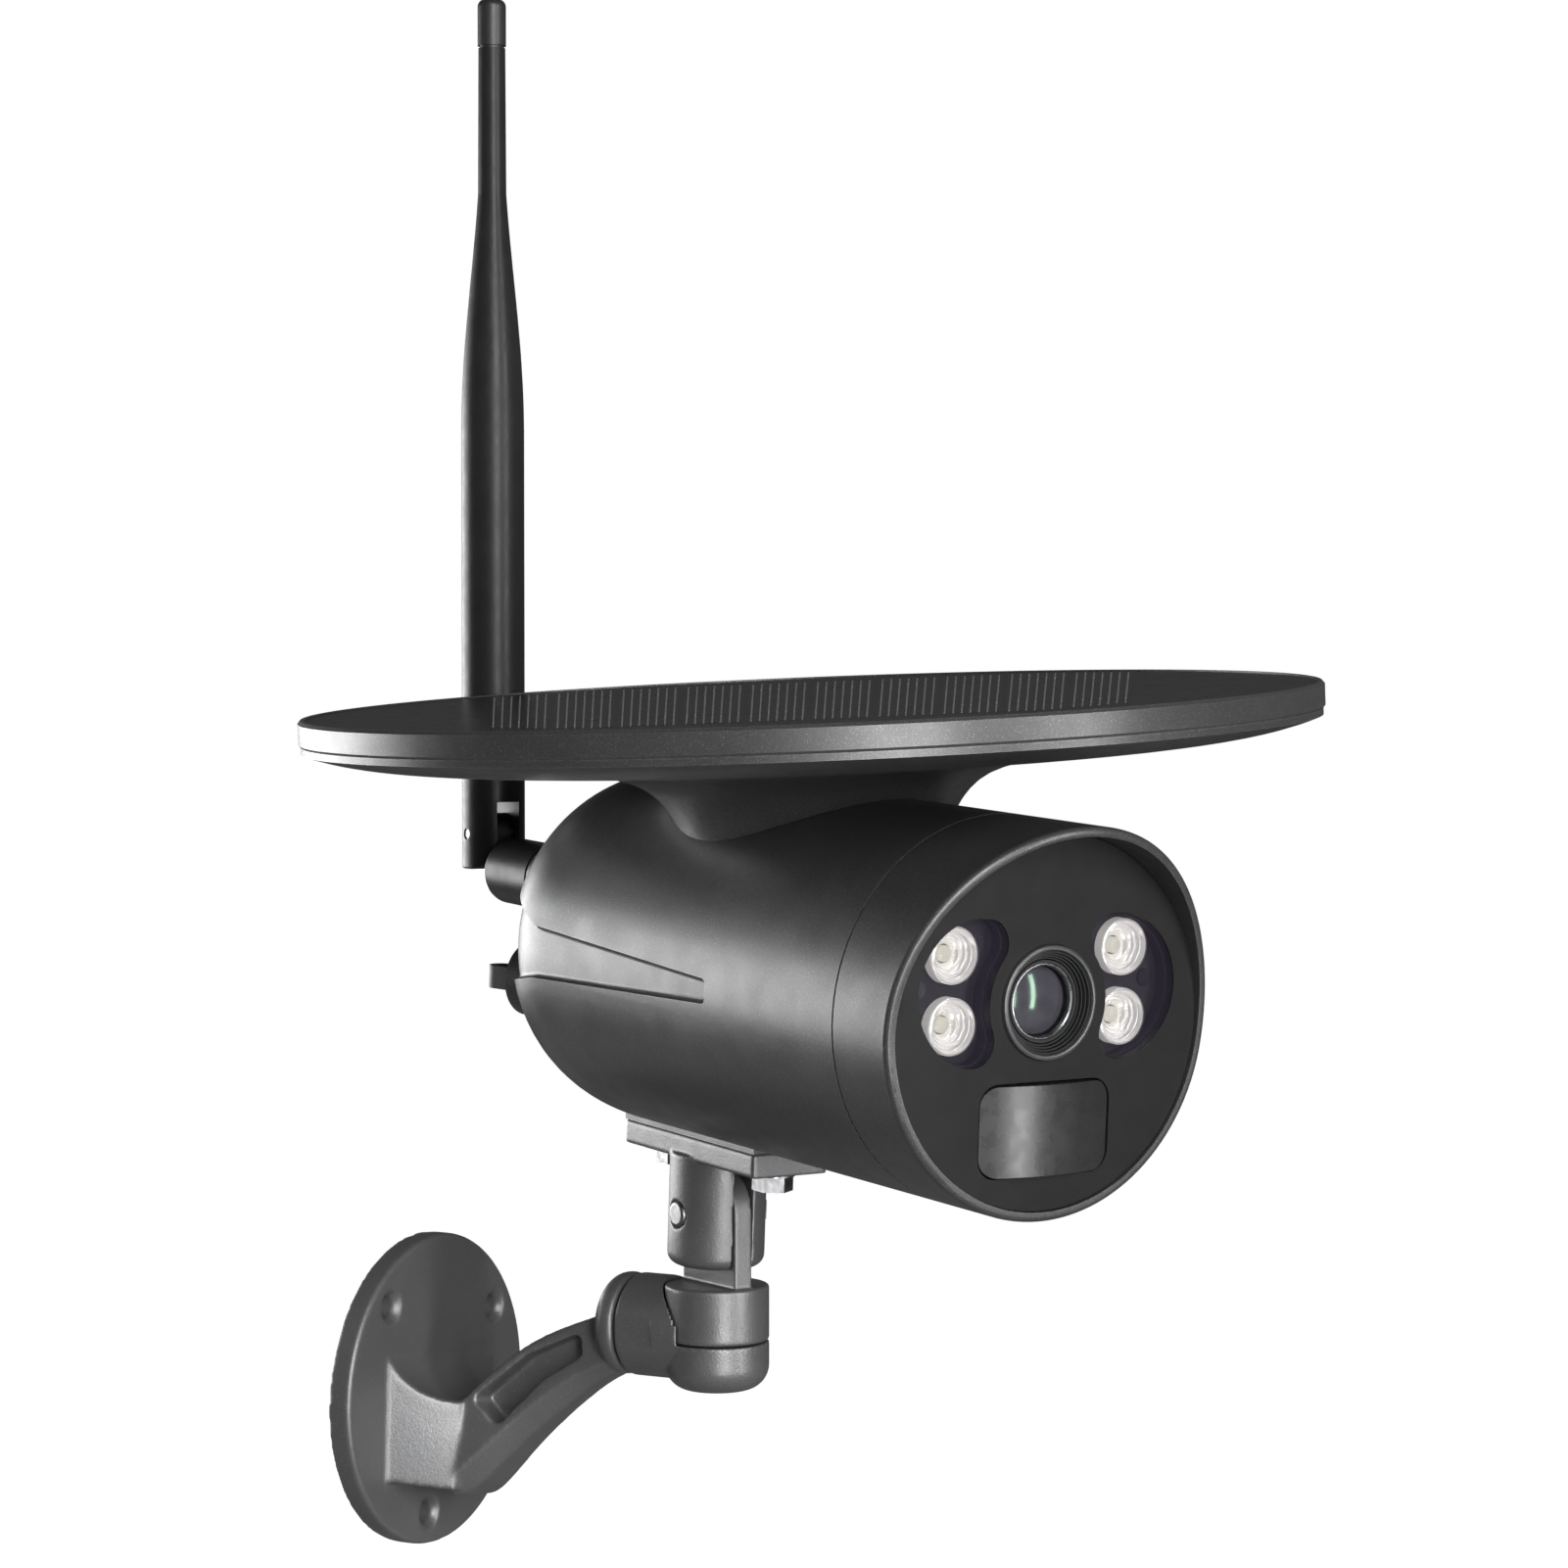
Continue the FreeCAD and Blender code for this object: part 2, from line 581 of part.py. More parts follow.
def make_housing_shell():
    outer = body_solid(0, SEAM_Y + SEAM_HALF)
    pad = box((-TOP_PLATE_HALF, TOP_PLATE_FRONT, BODY_BOTTOM),
              (TOP_PLATE_HALF, TOP_PLATE_BACK, BODY_BOTTOM + 4))
    shell = fuse_all([outer, pad])
    recess = side_recess()
    shell = cut_all(shell, [recess, mirrored(recess), body_solid(WALL, SEAM_Y - 5)])

    inside = body_solid(1.0, SEAM_Y + 1)
    posts = [cyl(4.0, (0, y, BODY_BOTTOM + 1), Z_AXIS, 9.5) for y in MOUNT_BOLT_YS]
    for side in (-1, 1):
        outward, origin = stem_screw_frame(side)
        posts.append(Part.makeCylinder(3.4, 7.0, origin + outward * (BODY_R - WALL - 5), outward))
    antenna_boss = cyl(COLLAR_R, (ANTENNA_X, REAR_END - WALL, ANTENNA_Z), Y_AXIS, BOSS_END - REAR_END + WALL)
    port_boss = stadium(PORT_HALF + PORT_RIM, PORT_R + PORT_RIM, -PORT_DEPTH - PORT_WALL, 0)
    shell = fuse_all([shell, antenna_boss, placed(port_boss, PORT)] + [post.common(inside) for post in posts])

    tools = [cyl(BOLT_R + RUNNING, (0, y, BODY_BOTTOM - 1), Z_AXIS, 10) for y in MOUNT_BOLT_YS]
    for side in (-1, 1):
        outward, origin = stem_screw_frame(side)
        tools.append(Part.makeCylinder(1.3, 12, origin + outward * (BODY_R - WALL - 4), outward))
    tools += port_tools()
    tools.append(cyl(3.2, (ANTENNA_X, 30, ANTENNA_Z), Y_AXIS, 30))
    tools.append(cyl(3.0, (0, PANEL_Y, BODY_AXIS_Z + 20), Z_AXIS, 30))
    for dx, dy in speaker_holes():
        tools.append(cyl(0.8, (dx, SPEAKER_Y + dy, BODY_BOTTOM - 2), Z_AXIS, 8))
    return cut_all(shell, tools)


def speaker_holes():
    yield 0.0, 0.0
    for count, radius in ((6, 3.0), (12, 6.0)):
        for step in range(count):
            angle = 2 * math.pi * step / count
            yield radius * math.cos(angle), radius * math.sin(angle)


def hood_cutter():
    """Everything ahead of the rim: flush with the face below, sweeping forward into a hood above."""
    reach = BODY_R + 2 - HOOD_START
    full = BODY_R - HOOD_START
    bend_r = (full * full + HOOD_RISE * HOOD_RISE) / (2 * HOOD_RISE)

    def forward(up):
        return RIM_Y - (bend_r - math.sqrt(bend_r * bend_r - up * up))

    low = BODY_AXIS_Z + HOOD_START
    far = RIM_Y - 40
    start = V(-50, RIM_Y, low)
    middle = V(-50, forward(reach / 2), low + reach / 2)
    end = V(-50, forward(reach), low + reach)
    edges = [Part.Arc(start, middle, end).toShape(),
             Part.makeLine(end, V(-50, far, end.z)),
             Part.makeLine(V(-50, far, end.z), V(-50, far, -10)),
             Part.makeLine(V(-50, far, -10), V(-50, RIM_Y, -10)),
             Part.makeLine(V(-50, RIM_Y, -10), start)]
    return prism(Part.Wire(edges), V(100, 0, 0))


def make_front_bezel():
    front = RIM_Y - HOOD_RISE - 5
    back = SEAM_Y - SEAM_HALF
    skirt = turned_y([(BODY_R, front), (BODY_R, back), (0, back), (0, front)], BODY_AXIS_Z)
    skirt = skirt.cut(hood_cutter())

    def on_rim(edge):
        middle = edge.valueAt((edge.FirstParameter + edge.LastParameter) / 2)
        radius = math.hypot(middle.x, middle.z - BODY_AXIS_Z)
        return middle.y < RIM_Y + 1 and abs(radius - BODY_R) < 0.2

    skirt = skirt.makeFillet(1.1, edges_where(skirt, on_rim))
    spigot_r = BODY_R - WALL - 0.15
    spigot = ring(spigot_r, 31.0, (0, SEAM_Y - 1, BODY_AXIS_Z), Y_AXIS, 7.0)
    mouth = cyl(BODY_R - RIM_WALL, (0, front - 1, BODY_AXIS_Z), Y_AXIS, FACE_Y + 5.8 - front + 1)
    bore = cyl(31.0, (0, front, BODY_AXIS_Z), Y_AXIS, 60)
    body = fuse_all([cut_all(skirt, [mouth, bore]), spigot])
    pinhole = cyl(0.6, (0, MIC_Y, BODY_BOTTOM - 1), Z_AXIS, 8)
    return body.cut(pinhole)


def make_bezel_seal():
    start = (0, SEAM_Y - SEAM_HALF, BODY_AXIS_Z)
    return ring(BODY_R - 0.6, BODY_R - WALL + 0.1, start, Y_AXIS, 2 * SEAM_HALF)


def kidney(side, grow, y0, y1):
    """Kidney-shaped prism around one pair of lamps: a disc bitten by a circle about the lens."""
    disc = V(KIDNEY_X, y0, BODY_AXIS_Z + KIDNEY_UP)
    lens = V(0, y0, LENS_Z)
    span = disc.distanceToPoint(lens)
    along = (disc - lens) / span
    across = along.cross(Y_AXIS)
    to_lens = KIDNEY_HOLLOW_R + KIDNEY_HORN_R
    to_disc = KIDNEY_R - KIDNEY_HORN_R
    reach = (to_lens ** 2 - to_disc ** 2 + span ** 2) / (2 * span)
    spread = math.sqrt(to_lens ** 2 - reach ** 2)
    outer_r = KIDNEY_R + grow
    hollow_r = KIDNEY_HOLLOW_R - grow
    edges = []
    outer_ends = []
    inner_ends = []
    for way in (-1, 1):
        horn = lens + along * reach + across * (way * spread)
        outward = (horn - disc) / to_disc
        inward = (lens - horn) / to_lens
        tip = horn + (outward + inward).normalize() * (KIDNEY_HORN_R + grow)
        outer_ends.append(disc + outward * outer_r)
        inner_ends.append(lens - inward * hollow_r)
        edges.append(Part.Arc(outer_ends[-1], tip, inner_ends[-1]).toShape())
    edges.append(Part.Arc(outer_ends[0], disc + along * outer_r, outer_ends[1]).toShape())
    edges.append(Part.Arc(inner_ends[0], lens + along * hollow_r, inner_ends[1]).toShape())
    block = prism(Part.Wire(Part.__sortEdges__(edges)), Y_AXIS * (y1 - y0))
    return block if side > 0 else mirrored(block)


def pir_block(grow, y0, y1):
    low = (-PIR_HALF - grow, y0, BODY_AXIS_Z + PIR_BOTTOM - grow)
    high = (PIR_HALF + grow, y1, BODY_AXIS_Z + PIR_TOP + grow)
    block = box(low, high)
    return block.makeFillet(PIR_CORNER + grow, long_edges(block, Y_AXIS))


def led_places():
    for side in (-1, 1):
        for half in (-1, 1):
            yield side * LED_X, BODY_AXIS_Z + LED_UP + half * LED_PITCH / 2


def make_face_plate():
    plate = cyl(BODY_R - RIM_WALL - 0.15, (0, FACE_Y, BODY_AXIS_Z), Y_AXIS, FACE_T)
    tools = [kidney(side, 0.1, FACE_Y - 1, FACE_Y + FACE_T + 1) for side in (-1, 1)]
    tools.append(cyl(RING_R + 0.1, (0, FACE_Y - 1, LENS_Z), Y_AXIS, 6))
    tools.append(pir_block(0.35, FACE_Y - 1, FACE_Y + FACE_T + 1))
    return cut_all(plate, tools)


def make_face_baffle():
    back = FLOOR_Y + 1.0
    front = FACE_Y + FACE_T + 0.02
    disc = cyl(33.0, (0, front, BODY_AXIS_Z), Y_AXIS, back - front)
    tools = [kidney(side, -0.2, front - 1, FLOOR_Y) for side in (-1, 1)]
    tools.append(cyl(9.9, (0, front - 1, LENS_Z), Y_AXIS, 8))
    tools.append(pir_block(0.35, front - 1, back + 1))
    for x, z in led_places():
        tools.append(cyl(LED_R + 0.1, (x, FLOOR_Y - 1, z), Y_AXIS, 4))
    for side in (-1, 1):
        tools.append(cyl(DOT_R + 0.05, (side * DOT_X, FLOOR_Y - 1, BODY_AXIS_Z + DOT_UP), Y_AXIS, 4))
    return cut_all(disc, tools)


def make_led_reflector(x, z):
    """Bowl that throws the lamp's light forward."""
    depth = BOARD_Y - 0.02 - LED_FRONT_Y
    cup = cyl(LED_R, (x, LED_FRONT_Y, z), Y_AXIS, depth)
    bowl = Part.makeCone(LED_R - 0.5, 1.9, depth - 0.6, V(x, LED_FRONT_Y, z), Y_AXIS)
    return cut_all(cup, [bowl, cyl(1.6, (x, LED_FRONT_Y, z), Y_AXIS, 10)])


def make_led_lens(x, z):
    """Clear bull's-eye optic: a thin dome inside the reflector's mouth."""
    rim = cyl(LED_R - 0.75, (x, LED_FRONT_Y - 0.3, z), Y_AXIS, 0.5)
    crown = Part.makeSphere(8.6, V(x, LED_FRONT_Y + 7.4, z)).common(
        cyl(LED_R - 1.1, (x, LED_FRONT_Y - 1.3, z), Y_AXIS, 1.4))
    return fuse_all([rim, crown])


def make_led_chip(x, z):
    base = box((x - 1.1, BOARD_Y - 0.8, z - 1.1), (x + 1.1, BOARD_Y, z + 1.1))
    drop = Part.makeSphere(0.95, V(x, BOARD_Y - 0.7, z)).common(
        box((x - 2, BOARD_Y - 3, z - 2), (x + 2, BOARD_Y - 0.7, z + 2)))
    return fuse_all([base, drop])


def make_lens_ring():
    back = FACE_Y + FACE_T
    outline = [(RING_R, back), (RING_R, RING_Y + 0.25), (RING_R - 0.25, RING_Y), (9.35, RING_Y),
               (9.1, RING_Y + 0.4), (7.9, RING_Y + 2.3), (7.5, RING_Y + 2.4), (7.5, back)]
    return turned_y(outline, LENS_Z)


def make_lens_barrel():
    outline = [(7.4, -102.5), (7.4, -87.0), (4.2, -87.0), (4.2, -98.0),
               (6.3, -98.0), (6.3, -101.6), (6.9, -102.5)]
    return turned_y(outline, LENS_Z)


def make_lens_glass():
    disc = cyl(6.2, (0, -101.4, LENS_Z), Y_AXIS, 3.0)
    crown = Part.makeSphere(9.5, V(0, -92.6, LENS_Z))
    return disc.common(crown)


def make_rear_lens():
    disc = cyl(4.1, (0, -94.0, LENS_Z), Y_AXIS, 3.0)
    return disc.common(Part.makeSphere(7.0, V(0, -87.4, LENS_Z)))


def make_lens_holder():
    block = box((-8.6, -93.0, LENS_Z - 8.6), (8.6, -85.6, LENS_Z + 8.6))
    block = block.makeFillet(1.5, long_edges(block, Y_AXIS))
    ears = [cyl(2.4, (side * 10.5, -87.6, LENS_Z), Y_AXIS, 2.0) for side in (-1, 1)]
    webs = box((-10.5, -87.6, LENS_Z - 2.4), (10.5, -85.6, LENS_Z + 2.4))
    body = fuse_all([block, webs] + ears)
    return body.cut(cyl(7.45, (0, -95, LENS_Z), Y_AXIS, 8.9)).cut(cyl(5.7, (0, -95, LENS_Z), Y_AXIS, 12))


def make_pir_lens():
    y_edge = FACE_Y + 0.2
    bulge_r = (PIR_HALF ** 2 + PIR_BULGE ** 2) / (2 * PIR_BULGE)
    centre_y = y_edge - PIR_BULGE + bulge_r
    z0 = BODY_AXIS_Z + PIR_BOTTOM - 5
    outer = cyl(bulge_r, (0, centre_y, z0), Z_AXIS, 40)
    block = pir_block(0, y_edge - PIR_BULGE - 1, FACE_Y + FACE_T + 1.5).common(outer)
    hollow = pir_block(-1.2, y_edge - PIR_BULGE - 1, FACE_Y + 20).common(
        cyl(bulge_r - 1.2, (0, centre_y, z0), Z_AXIS, 40))
    return block.cut(hollow)


def make_pir_sensor():
    z = BODY_AXIS_Z + (PIR_TOP + PIR_BOTTOM) / 2
    can = cyl(4.1, (0, BOARD_Y - 3.6, z), Y_AXIS, 3.6)
    foot = cyl(4.6, (0, BOARD_Y - 0.6, z), Y_AXIS, 0.6)
    window = box((-2.0, BOARD_Y - 4.2, z - 1.5), (2.0, BOARD_Y - 3.3, z + 1.5))
    return fuse_all([can, foot]).cut(window)


def make_led_board():
    disc = cyl(30.6, (0, BOARD_Y, BODY_AXIS_Z), Y_AXIS, 1.6)
    plug = box((-6, BOARD_Y + 1.6, BODY_AXIS_Z + 18), (6, BOARD_Y + 5.6, BODY_AXIS_Z + 24))
    return fuse_all([disc, plug]).cut(cyl(8.0, (0, BOARD_Y - 2, LENS_Z), Y_AXIS, 10))


def dot_pin(side, y0):
    z = BODY_AXIS_Z + DOT_UP
    return cyl(DOT_R, (side * DOT_X, y0, z), Y_AXIS, BOARD_Y - y0)


def make_inner_frame():
    """Round carrier that holds the lens block, with two rails back to the battery pack."""
    disc = cyl(30.8, (0, -85.4 + 2.0, BODY_AXIS_Z), Y_AXIS, 2.0)
    window = box((-14, -90, BODY_AXIS_Z - 9), (14, -70, BODY_AXIS_Z + 14))
    rails = []
    for side in (-1, 1):
        x = side * 24.5
        rails.append(box((x - 1.2, -83.4, BODY_AXIS_Z + 12.6), (x + 1.2, -8.0, BODY_AXIS_Z + 15.6)))
    return fuse_all([disc.cut(window)] + rails)


def make_sensor_board():
    board = box((-13.5, -85.4, LENS_Z - 12), (13.5, -83.9, LENS_Z + 10))
    return board


def make_image_sensor():
    return box((-4.2, -86.4, LENS_Z - 3.4), (4.2, -85.42, LENS_Z + 3.4))


def make_main_board():
    z = BODY_AXIS_Z + 15.7
    board = box((-25.5, -80, z), (25.5, -10, z + 1.6))
    chips = [box((-14, -72, z + 1.5), (6, -52, z + 4.6)),
             box((-9, -46, z + 1.5), (5, -32, z + 3.2)),
             box((10, -40, z + 1.5), (19, -28, z + 3.0)),
             box((11, -70, z + 1.5), (18, -56, z + 6.0))]
    return fuse_all([board] + chips)


def cell_places():
    for side in (-1, 1):
        for level in (-1, 1):
            yield side * CELL_HALF, BODY_AXIS_Z + PACK_UP + level * CELL_HALF


def make_cell(x, z):
    can = cyl(CELL_R, (x, CELL_BACK - CELL_L, z), Y_AXIS, CELL_L - 0.8)
    button = cyl(2.7, (x, CELL_BACK - 0.9, z), Y_AXIS, 0.9)
    return fuse_all([can, button])


def make_battery_holder():
    """Two end plates joined by a spine between the four cells."""
    half = CELL_HALF + CELL_R - 0.6
    z = BODY_AXIS_Z + PACK_UP
    plates = []
    for y in (CELL_BACK + 0.05, CELL_BACK - CELL_L - 1.85):
        plate = box((-half, y, z - half), (half, y + 1.8, z + half))
        plates.append(plate.makeFillet(7.0, long_edges(plate, Y_AXIS)))
    spine = cyl(3.4, (0, CELL_BACK - CELL_L - 1, z), Y_AXIS, CELL_L + 1.5)
    return fuse_all(plates + [spine])


def make_speaker():
    base_z = BODY_BOTTOM + 4.6
    can = cyl(8.6, (0, SPEAKER_Y, base_z), Z_AXIS, 3.2)
    magnet = cyl(5.0, (0, SPEAKER_Y, base_z + 3.1), Z_AXIS, 1.4)
    return fuse_all([can, magnet])


def make_port_cover():
    """Soft plug flush with the port rim, with a hollow lip inside and a looped pull tab outside."""
    skin = stadium(PORT_HALF, PORT_R, -COVER_T, -0.1)
    lip = stadium(PORT_HALF - 2.6, PORT_R - 2.6, -COVER_T - COVER_LIP, -COVER_T)
    lip = lip.cut(stadium(PORT_HALF - 3.6, PORT_R - 3.6, -COVER_T - COVER_LIP - 1, -COVER_T))
    band = 2.3
    radius = 2.6
    leg = box((TAB_X - radius, -0.5, -band), (TAB_X + radius, TAB_REACH - radius, band))
    tip = cyl(radius, (TAB_X, TAB_REACH - radius, -band), Z_AXIS, 2 * band)
    eye = fuse_all([cyl(1.5, (TAB_X, TAB_REACH - radius, -band - 1), Z_AXIS, 2 * band + 2),
                    box((TAB_X - 1.5, 2.0, -band - 1), (TAB_X + 1.5, TAB_REACH - radius, band + 1))])
    return fuse_all([skin, lip, fuse_all([leg, tip]).cut(eye)])


def make_button(x):
    stem = cyl(BUTTON_R, (x, -PORT_DEPTH - 2.4, 0), Y_AXIS, 3.3)
    base = cyl(BUTTON_R + 0.6, (x, -PORT_DEPTH - 2.4, 0), Y_AXIS, 0.75)
    return fuse_all([stem, base])


def make_usb_port():
    back = -PORT_DEPTH - 3.1
    body = stadium(4.4, 1.6, back, -PORT_DEPTH + 0.4, USB_X)
    mouth = stadium(4.0, 1.2, back + 0.6, -PORT_DEPTH + 1.0, USB_X)
    blade = box((USB_X - 2.8, back + 0.2, -0.35), (USB_X + 2.8, -PORT_DEPTH - 0.2, 0.35))
    return fuse_all([body.cut(mouth), blade])


def make_port_board():
    return box((-10.0, -PORT_DEPTH - 4.5, -5.5), (9.5, -PORT_DEPTH - 3.12, 5.5))


def build_body():
    head("housing_shell", make_housing_shell())
    head("front_bezel", make_front_bezel())
    head("bezel_seal", make_bezel_seal())
    head("face_plate", make_face_plate())
    head("face_baffle", make_face_baffle())
    for name, side in (("led_window_left", -1), ("led_window_right", 1)):
        head(name, kidney(side, -0.05, FACE_Y + 0.15, FACE_Y + 1.15))
    head("led_reflectors", Part.makeCompound([make_led_reflector(x, z) for x, z in led_places()]))
    head("led_lenses", Part.makeCompound([make_led_lens(x, z) for x, z in led_places()]))
    head("led_chips", Part.makeCompound([make_led_chip(x, z) for x, z in led_places()]))
    head("led_board", make_led_board())
    head("status_light_pipe", dot_pin(-1, FLOOR_Y - 0.3))
    head("light_sensor", dot_pin(1, FLOOR_Y - 0.3))
    head("lens_ring", make_lens_ring())
    head("lens_barrel", make_lens_barrel())
    head("lens_glass", make_lens_glass())
    head("rear_lens", make_rear_lens())
    head("lens_holder", make_lens_holder())
    head("sensor_board", make_sensor_board())
    head("image_sensor", make_image_sensor())
    head("pir_lens", make_pir_lens())
    head("pir_sensor", make_pir_sensor())
    head("inner_frame", make_inner_frame())
    head("main_board", make_main_board())
    head("battery_cells", Part.makeCompound([make_cell(x, z) for x, z in cell_places()]))
    head("battery_holder", make_battery_holder())
    head("speaker", make_speaker())
    head("microphone", cyl(2.6, (0, MIC_Y, BODY_AXIS_Z - 30.6), Z_AXIS, 3.0))
    port("port_cover", make_port_cover())
    port("usb_port", make_usb_port())
    port("port_board", make_port_board())
    for name, x in zip(("power_button", "reset_button"), BUTTON_XS):
        port(name, make_button(x))


# ---- solar panel --------------------------------------------------------------------------------------

def panel_shell_face(inset):
    """Half-section of the tray and its trumpet stem, shrunk by an inset, as a face in the XZ plane."""
    flare = [(RIM_R - 0.4 - inset, -6.0 + inset * 0.9), (62.0, -10.4 + inset), (41.0, -13.0 + inset),
             (32.0 - inset * 0.8, -16.4 + inset * 0.6), (27.8 - inset, -21.0), (STEM_R - inset, -29.0)]
    top = -RIM_H if inset == 0 else -2.0
    bottom = -48.0
    points = [(r, 0, z) for r, z in flare]
    edges = [line((0, 0, top), (points[0][0], 0, top)),
             line((points[0][0], 0, top), points[0]),
             spline(points),
             line(points[-1], (points[-1][0], 0, bottom)),
             line((points[-1][0], 0, bottom), (0, 0, bottom)),
             line((0, 0, bottom), (0, 0, top))]
    return Part.Face(Part.Wire(edges))


def panel_frame_inverse(shape):
    """Bring a shape from the head frame into the panel's frame."""
    return placed(shape, PANEL.inverse())


def make_panel_base():
    outer, inner = (panel_shell_face(inset).revolve(V(0, 0, 0), Z_AXIS, 360) for inset in (0, TRAY_WALL))
    body_round = cyl(BODY_R + 0.02, (0, -140, BODY_AXIS_Z), Y_AXIS, 180)
    below = box((-60, -140, -60), (60, 60, BODY_AXIS_Z + 4))
    shell = cut_all(outer, [inner, panel_frame_inverse(body_round), panel_frame_inverse(below)])
    lugs = []
    tools = []
    for side in (-1, 1):
        outward, origin = stem_screw_frame(side)
        lug = Part.makeCylinder(4.2, 9.0, origin + outward * (BODY_R - 0.5), outward)
        lugs.append(panel_frame_inverse(lug).common(outer))
        tools.append(Part.makeCylinder(1.7, 14.0, origin + outward * (BODY_R - 5), outward))
        pocket = Part.makeCylinder(2.9, 30.0, origin + outward * (BODY_R + 2.6), outward)
        tools.append(pocket.rotate(origin, outward, SEAM_TURN_DEG))
    lugs = [lug.cut(panel_frame_inverse(body_round)) for lug in lugs]
    shell = fuse_all([shell] + lugs)
    return cut_all(shell, [panel_frame_inverse(tool) for tool in tools])


def make_panel_rim():
    outline = [(GLASS_R + 0.1, 0.3), (RIM_R - 0.5, 0.3), (RIM_R, -0.3), (RIM_R, -RIM_H + 0.5),
               (RIM_R - 0.4, -RIM_H), (GLASS_R - 3.0, -RIM_H), (GLASS_R - 3.0, -3.4), (GLASS_R - 2.0, -3.4),
               (GLASS_R - 2.0, -1.65), (GLASS_R + 0.1, -1.65)]
    return spun(outline)


def make_stem_screw(side):
    outward, origin = stem_screw_frame(side)
    shank = Part.makeCylinder(1.25, 9.0, origin + outward * (BODY_R - 6.2), outward)
    cap = Part.makeCylinder(2.5, 1.8, origin + outward * (BODY_R + 2.65), outward)
    slot = Part.makeCylinder(1.0, 1.2, origin + outward * (BODY_R + 3.4), outward)
    return fuse_all([shank, cap]).cut(slot)


def build_panel():
    panel("panel_base", make_panel_base())
    panel("panel_rim", make_panel_rim())
    panel("solar_laminate", cyl(GLASS_R, (0, 0, -1.6), Z_AXIS, 1.6))
    panel("panel_backing", cyl(GLASS_R - 3.2, (0, 0, -3.3), Z_AXIS, 1.5))
    head("stem_screws", Part.makeCompound([make_stem_screw(side) for side in (-1, 1)]))
    lead = cyl(1.6, (0, PANEL_Y, BODY_AXIS_Z + 17.6), Z_AXIS, 24)
    head("panel_lead", lead)


# ---- antenna ------------------------------------------------------------------------------------------

def make_antenna_jack():
    tube = cyl(3.1, (ANTENNA_X, 34, ANTENNA_Z), Y_AXIS, 26)
    nut = hexagon(8.0, (ANTENNA_X, 34.6, ANTENNA_Z), Y_AXIS, 2.2)
    return fuse_all([tube, nut]).cut(cyl(1.0, (ANTENNA_X, 50, ANTENNA_Z), Y_AXIS, 20))


def make_antenna_collar():
    sleeve = ring(COLLAR_R, 5.2, (ANTENNA_X, BOSS_END + 0.3, ANTENNA_Z), Y_AXIS, COLLAR_END - BOSS_END - 0.3)
    ends = circles(sleeve, lambda e: abs(e.Curve.Radius - COLLAR_R) < 0.01)
    return sleeve.makeFillet(0.5, ends)


def make_antenna_knuckle():
    """Plated coupling nut inside the collar, with the hinge tongue on its end."""
    core = cyl(5.15, (ANTENNA_X, BOSS_END + 0.6, ANTENNA_Z), Y_AXIS, COLLAR_END - BOSS_END - 1.1)
    bore = cyl(3.15, (ANTENNA_X, BOSS_END - 2, ANTENNA_Z), Y_AXIS, 12.5)
    low = cyl(4.3, (ANTENNA_X - KNUCKLE_HALF, HINGE_Y - 0.4, ANTENNA_Z), X_AXIS, 2 * KNUCKLE_HALF)
    high = cyl(4.3, (ANTENNA_X - KNUCKLE_HALF, HINGE_Y, HINGE_Z), X_AXIS, 2 * KNUCKLE_HALF)
    cheek = box((ANTENNA_X - KNUCKLE_HALF, HINGE_Y - 4.3, ANTENNA_Z),
                (ANTENNA_X + KNUCKLE_HALF, HINGE_Y + 4.1, HINGE_Z))
    neck = box((ANTENNA_X - KNUCKLE_HALF, COLLAR_END - 3, ANTENNA_Z - 4.3),
               (ANTENNA_X + KNUCKLE_HALF, HINGE_Y - 0.4, ANTENNA_Z + 4.3))
    body = fuse_all([core.cut(bore), low, high, cheek, neck])
    return body.cut(cyl(1.2 + RUNNING, (ANTENNA_X - 10, HINGE_Y, HINGE_Z), X_AXIS, 20))


def whip_piece(name, shape):
    head(name, placed(shape, WHIP))


def make_whip_sleeve():
    """Rubber-covered whip: straight grip with a hinge fork, a long taper, then the thin mast."""
    straight = cyl(WHIP_R, (0, 0, -PRONG_BELOW), Z_AXIS, PRONG_BELOW + WHIP_STRAIGHT)
    low = circles(straight, lambda e: e.CenterOfMass.z < 0)
    straight = straight.makeFillet(0.5, low)
    taper = [(WHIP_R, 0, WHIP_STRAIGHT), (6.1, 0, 100.0), (4.1, 0, 122.0), (3.0, 0, WHIP_NECK)]
    edges = [line((0, 0, WHIP_STRAIGHT), taper[0]),
             spline(taper),
             line(taper[-1], (WHIP_TIP_R, 0, TIP_GROOVE)),
             line((WHIP_TIP_R, 0, TIP_GROOVE), (0, 0, TIP_GROOVE)),
             line((0, 0, TIP_GROOVE), (0, 0, WHIP_STRAIGHT))]
    mast = Part.Face(Part.Wire(edges)).revolve(V(0, 0, 0), Z_AXIS, 360)
    body = fuse_all([straight, mast])
    slot = box((-FORK_SLOT_HALF, -10, -10), (FORK_SLOT_HALF, 10, FORK_SLOT_TOP))
    swing_r = 7.7
    corner = box((-10, -10, -10), (10, -0.0, 0)).cut(cyl(swing_r, (-12, 0, 0), X_AXIS, 24))
    groove = ring(WHIP_R + 1, WHIP_R - 0.2, (0, 0, 12.5), Z_AXIS, 0.35)
    core = cyl(1.1, (0, 0, FORK_SLOT_TOP - 1), Z_AXIS, TIP_GROOVE - FORK_SLOT_TOP + 3)
    return cut_all(body, [slot, corner, groove, core, cyl(1.2, (-10, 0, 0), X_AXIS, 20)])


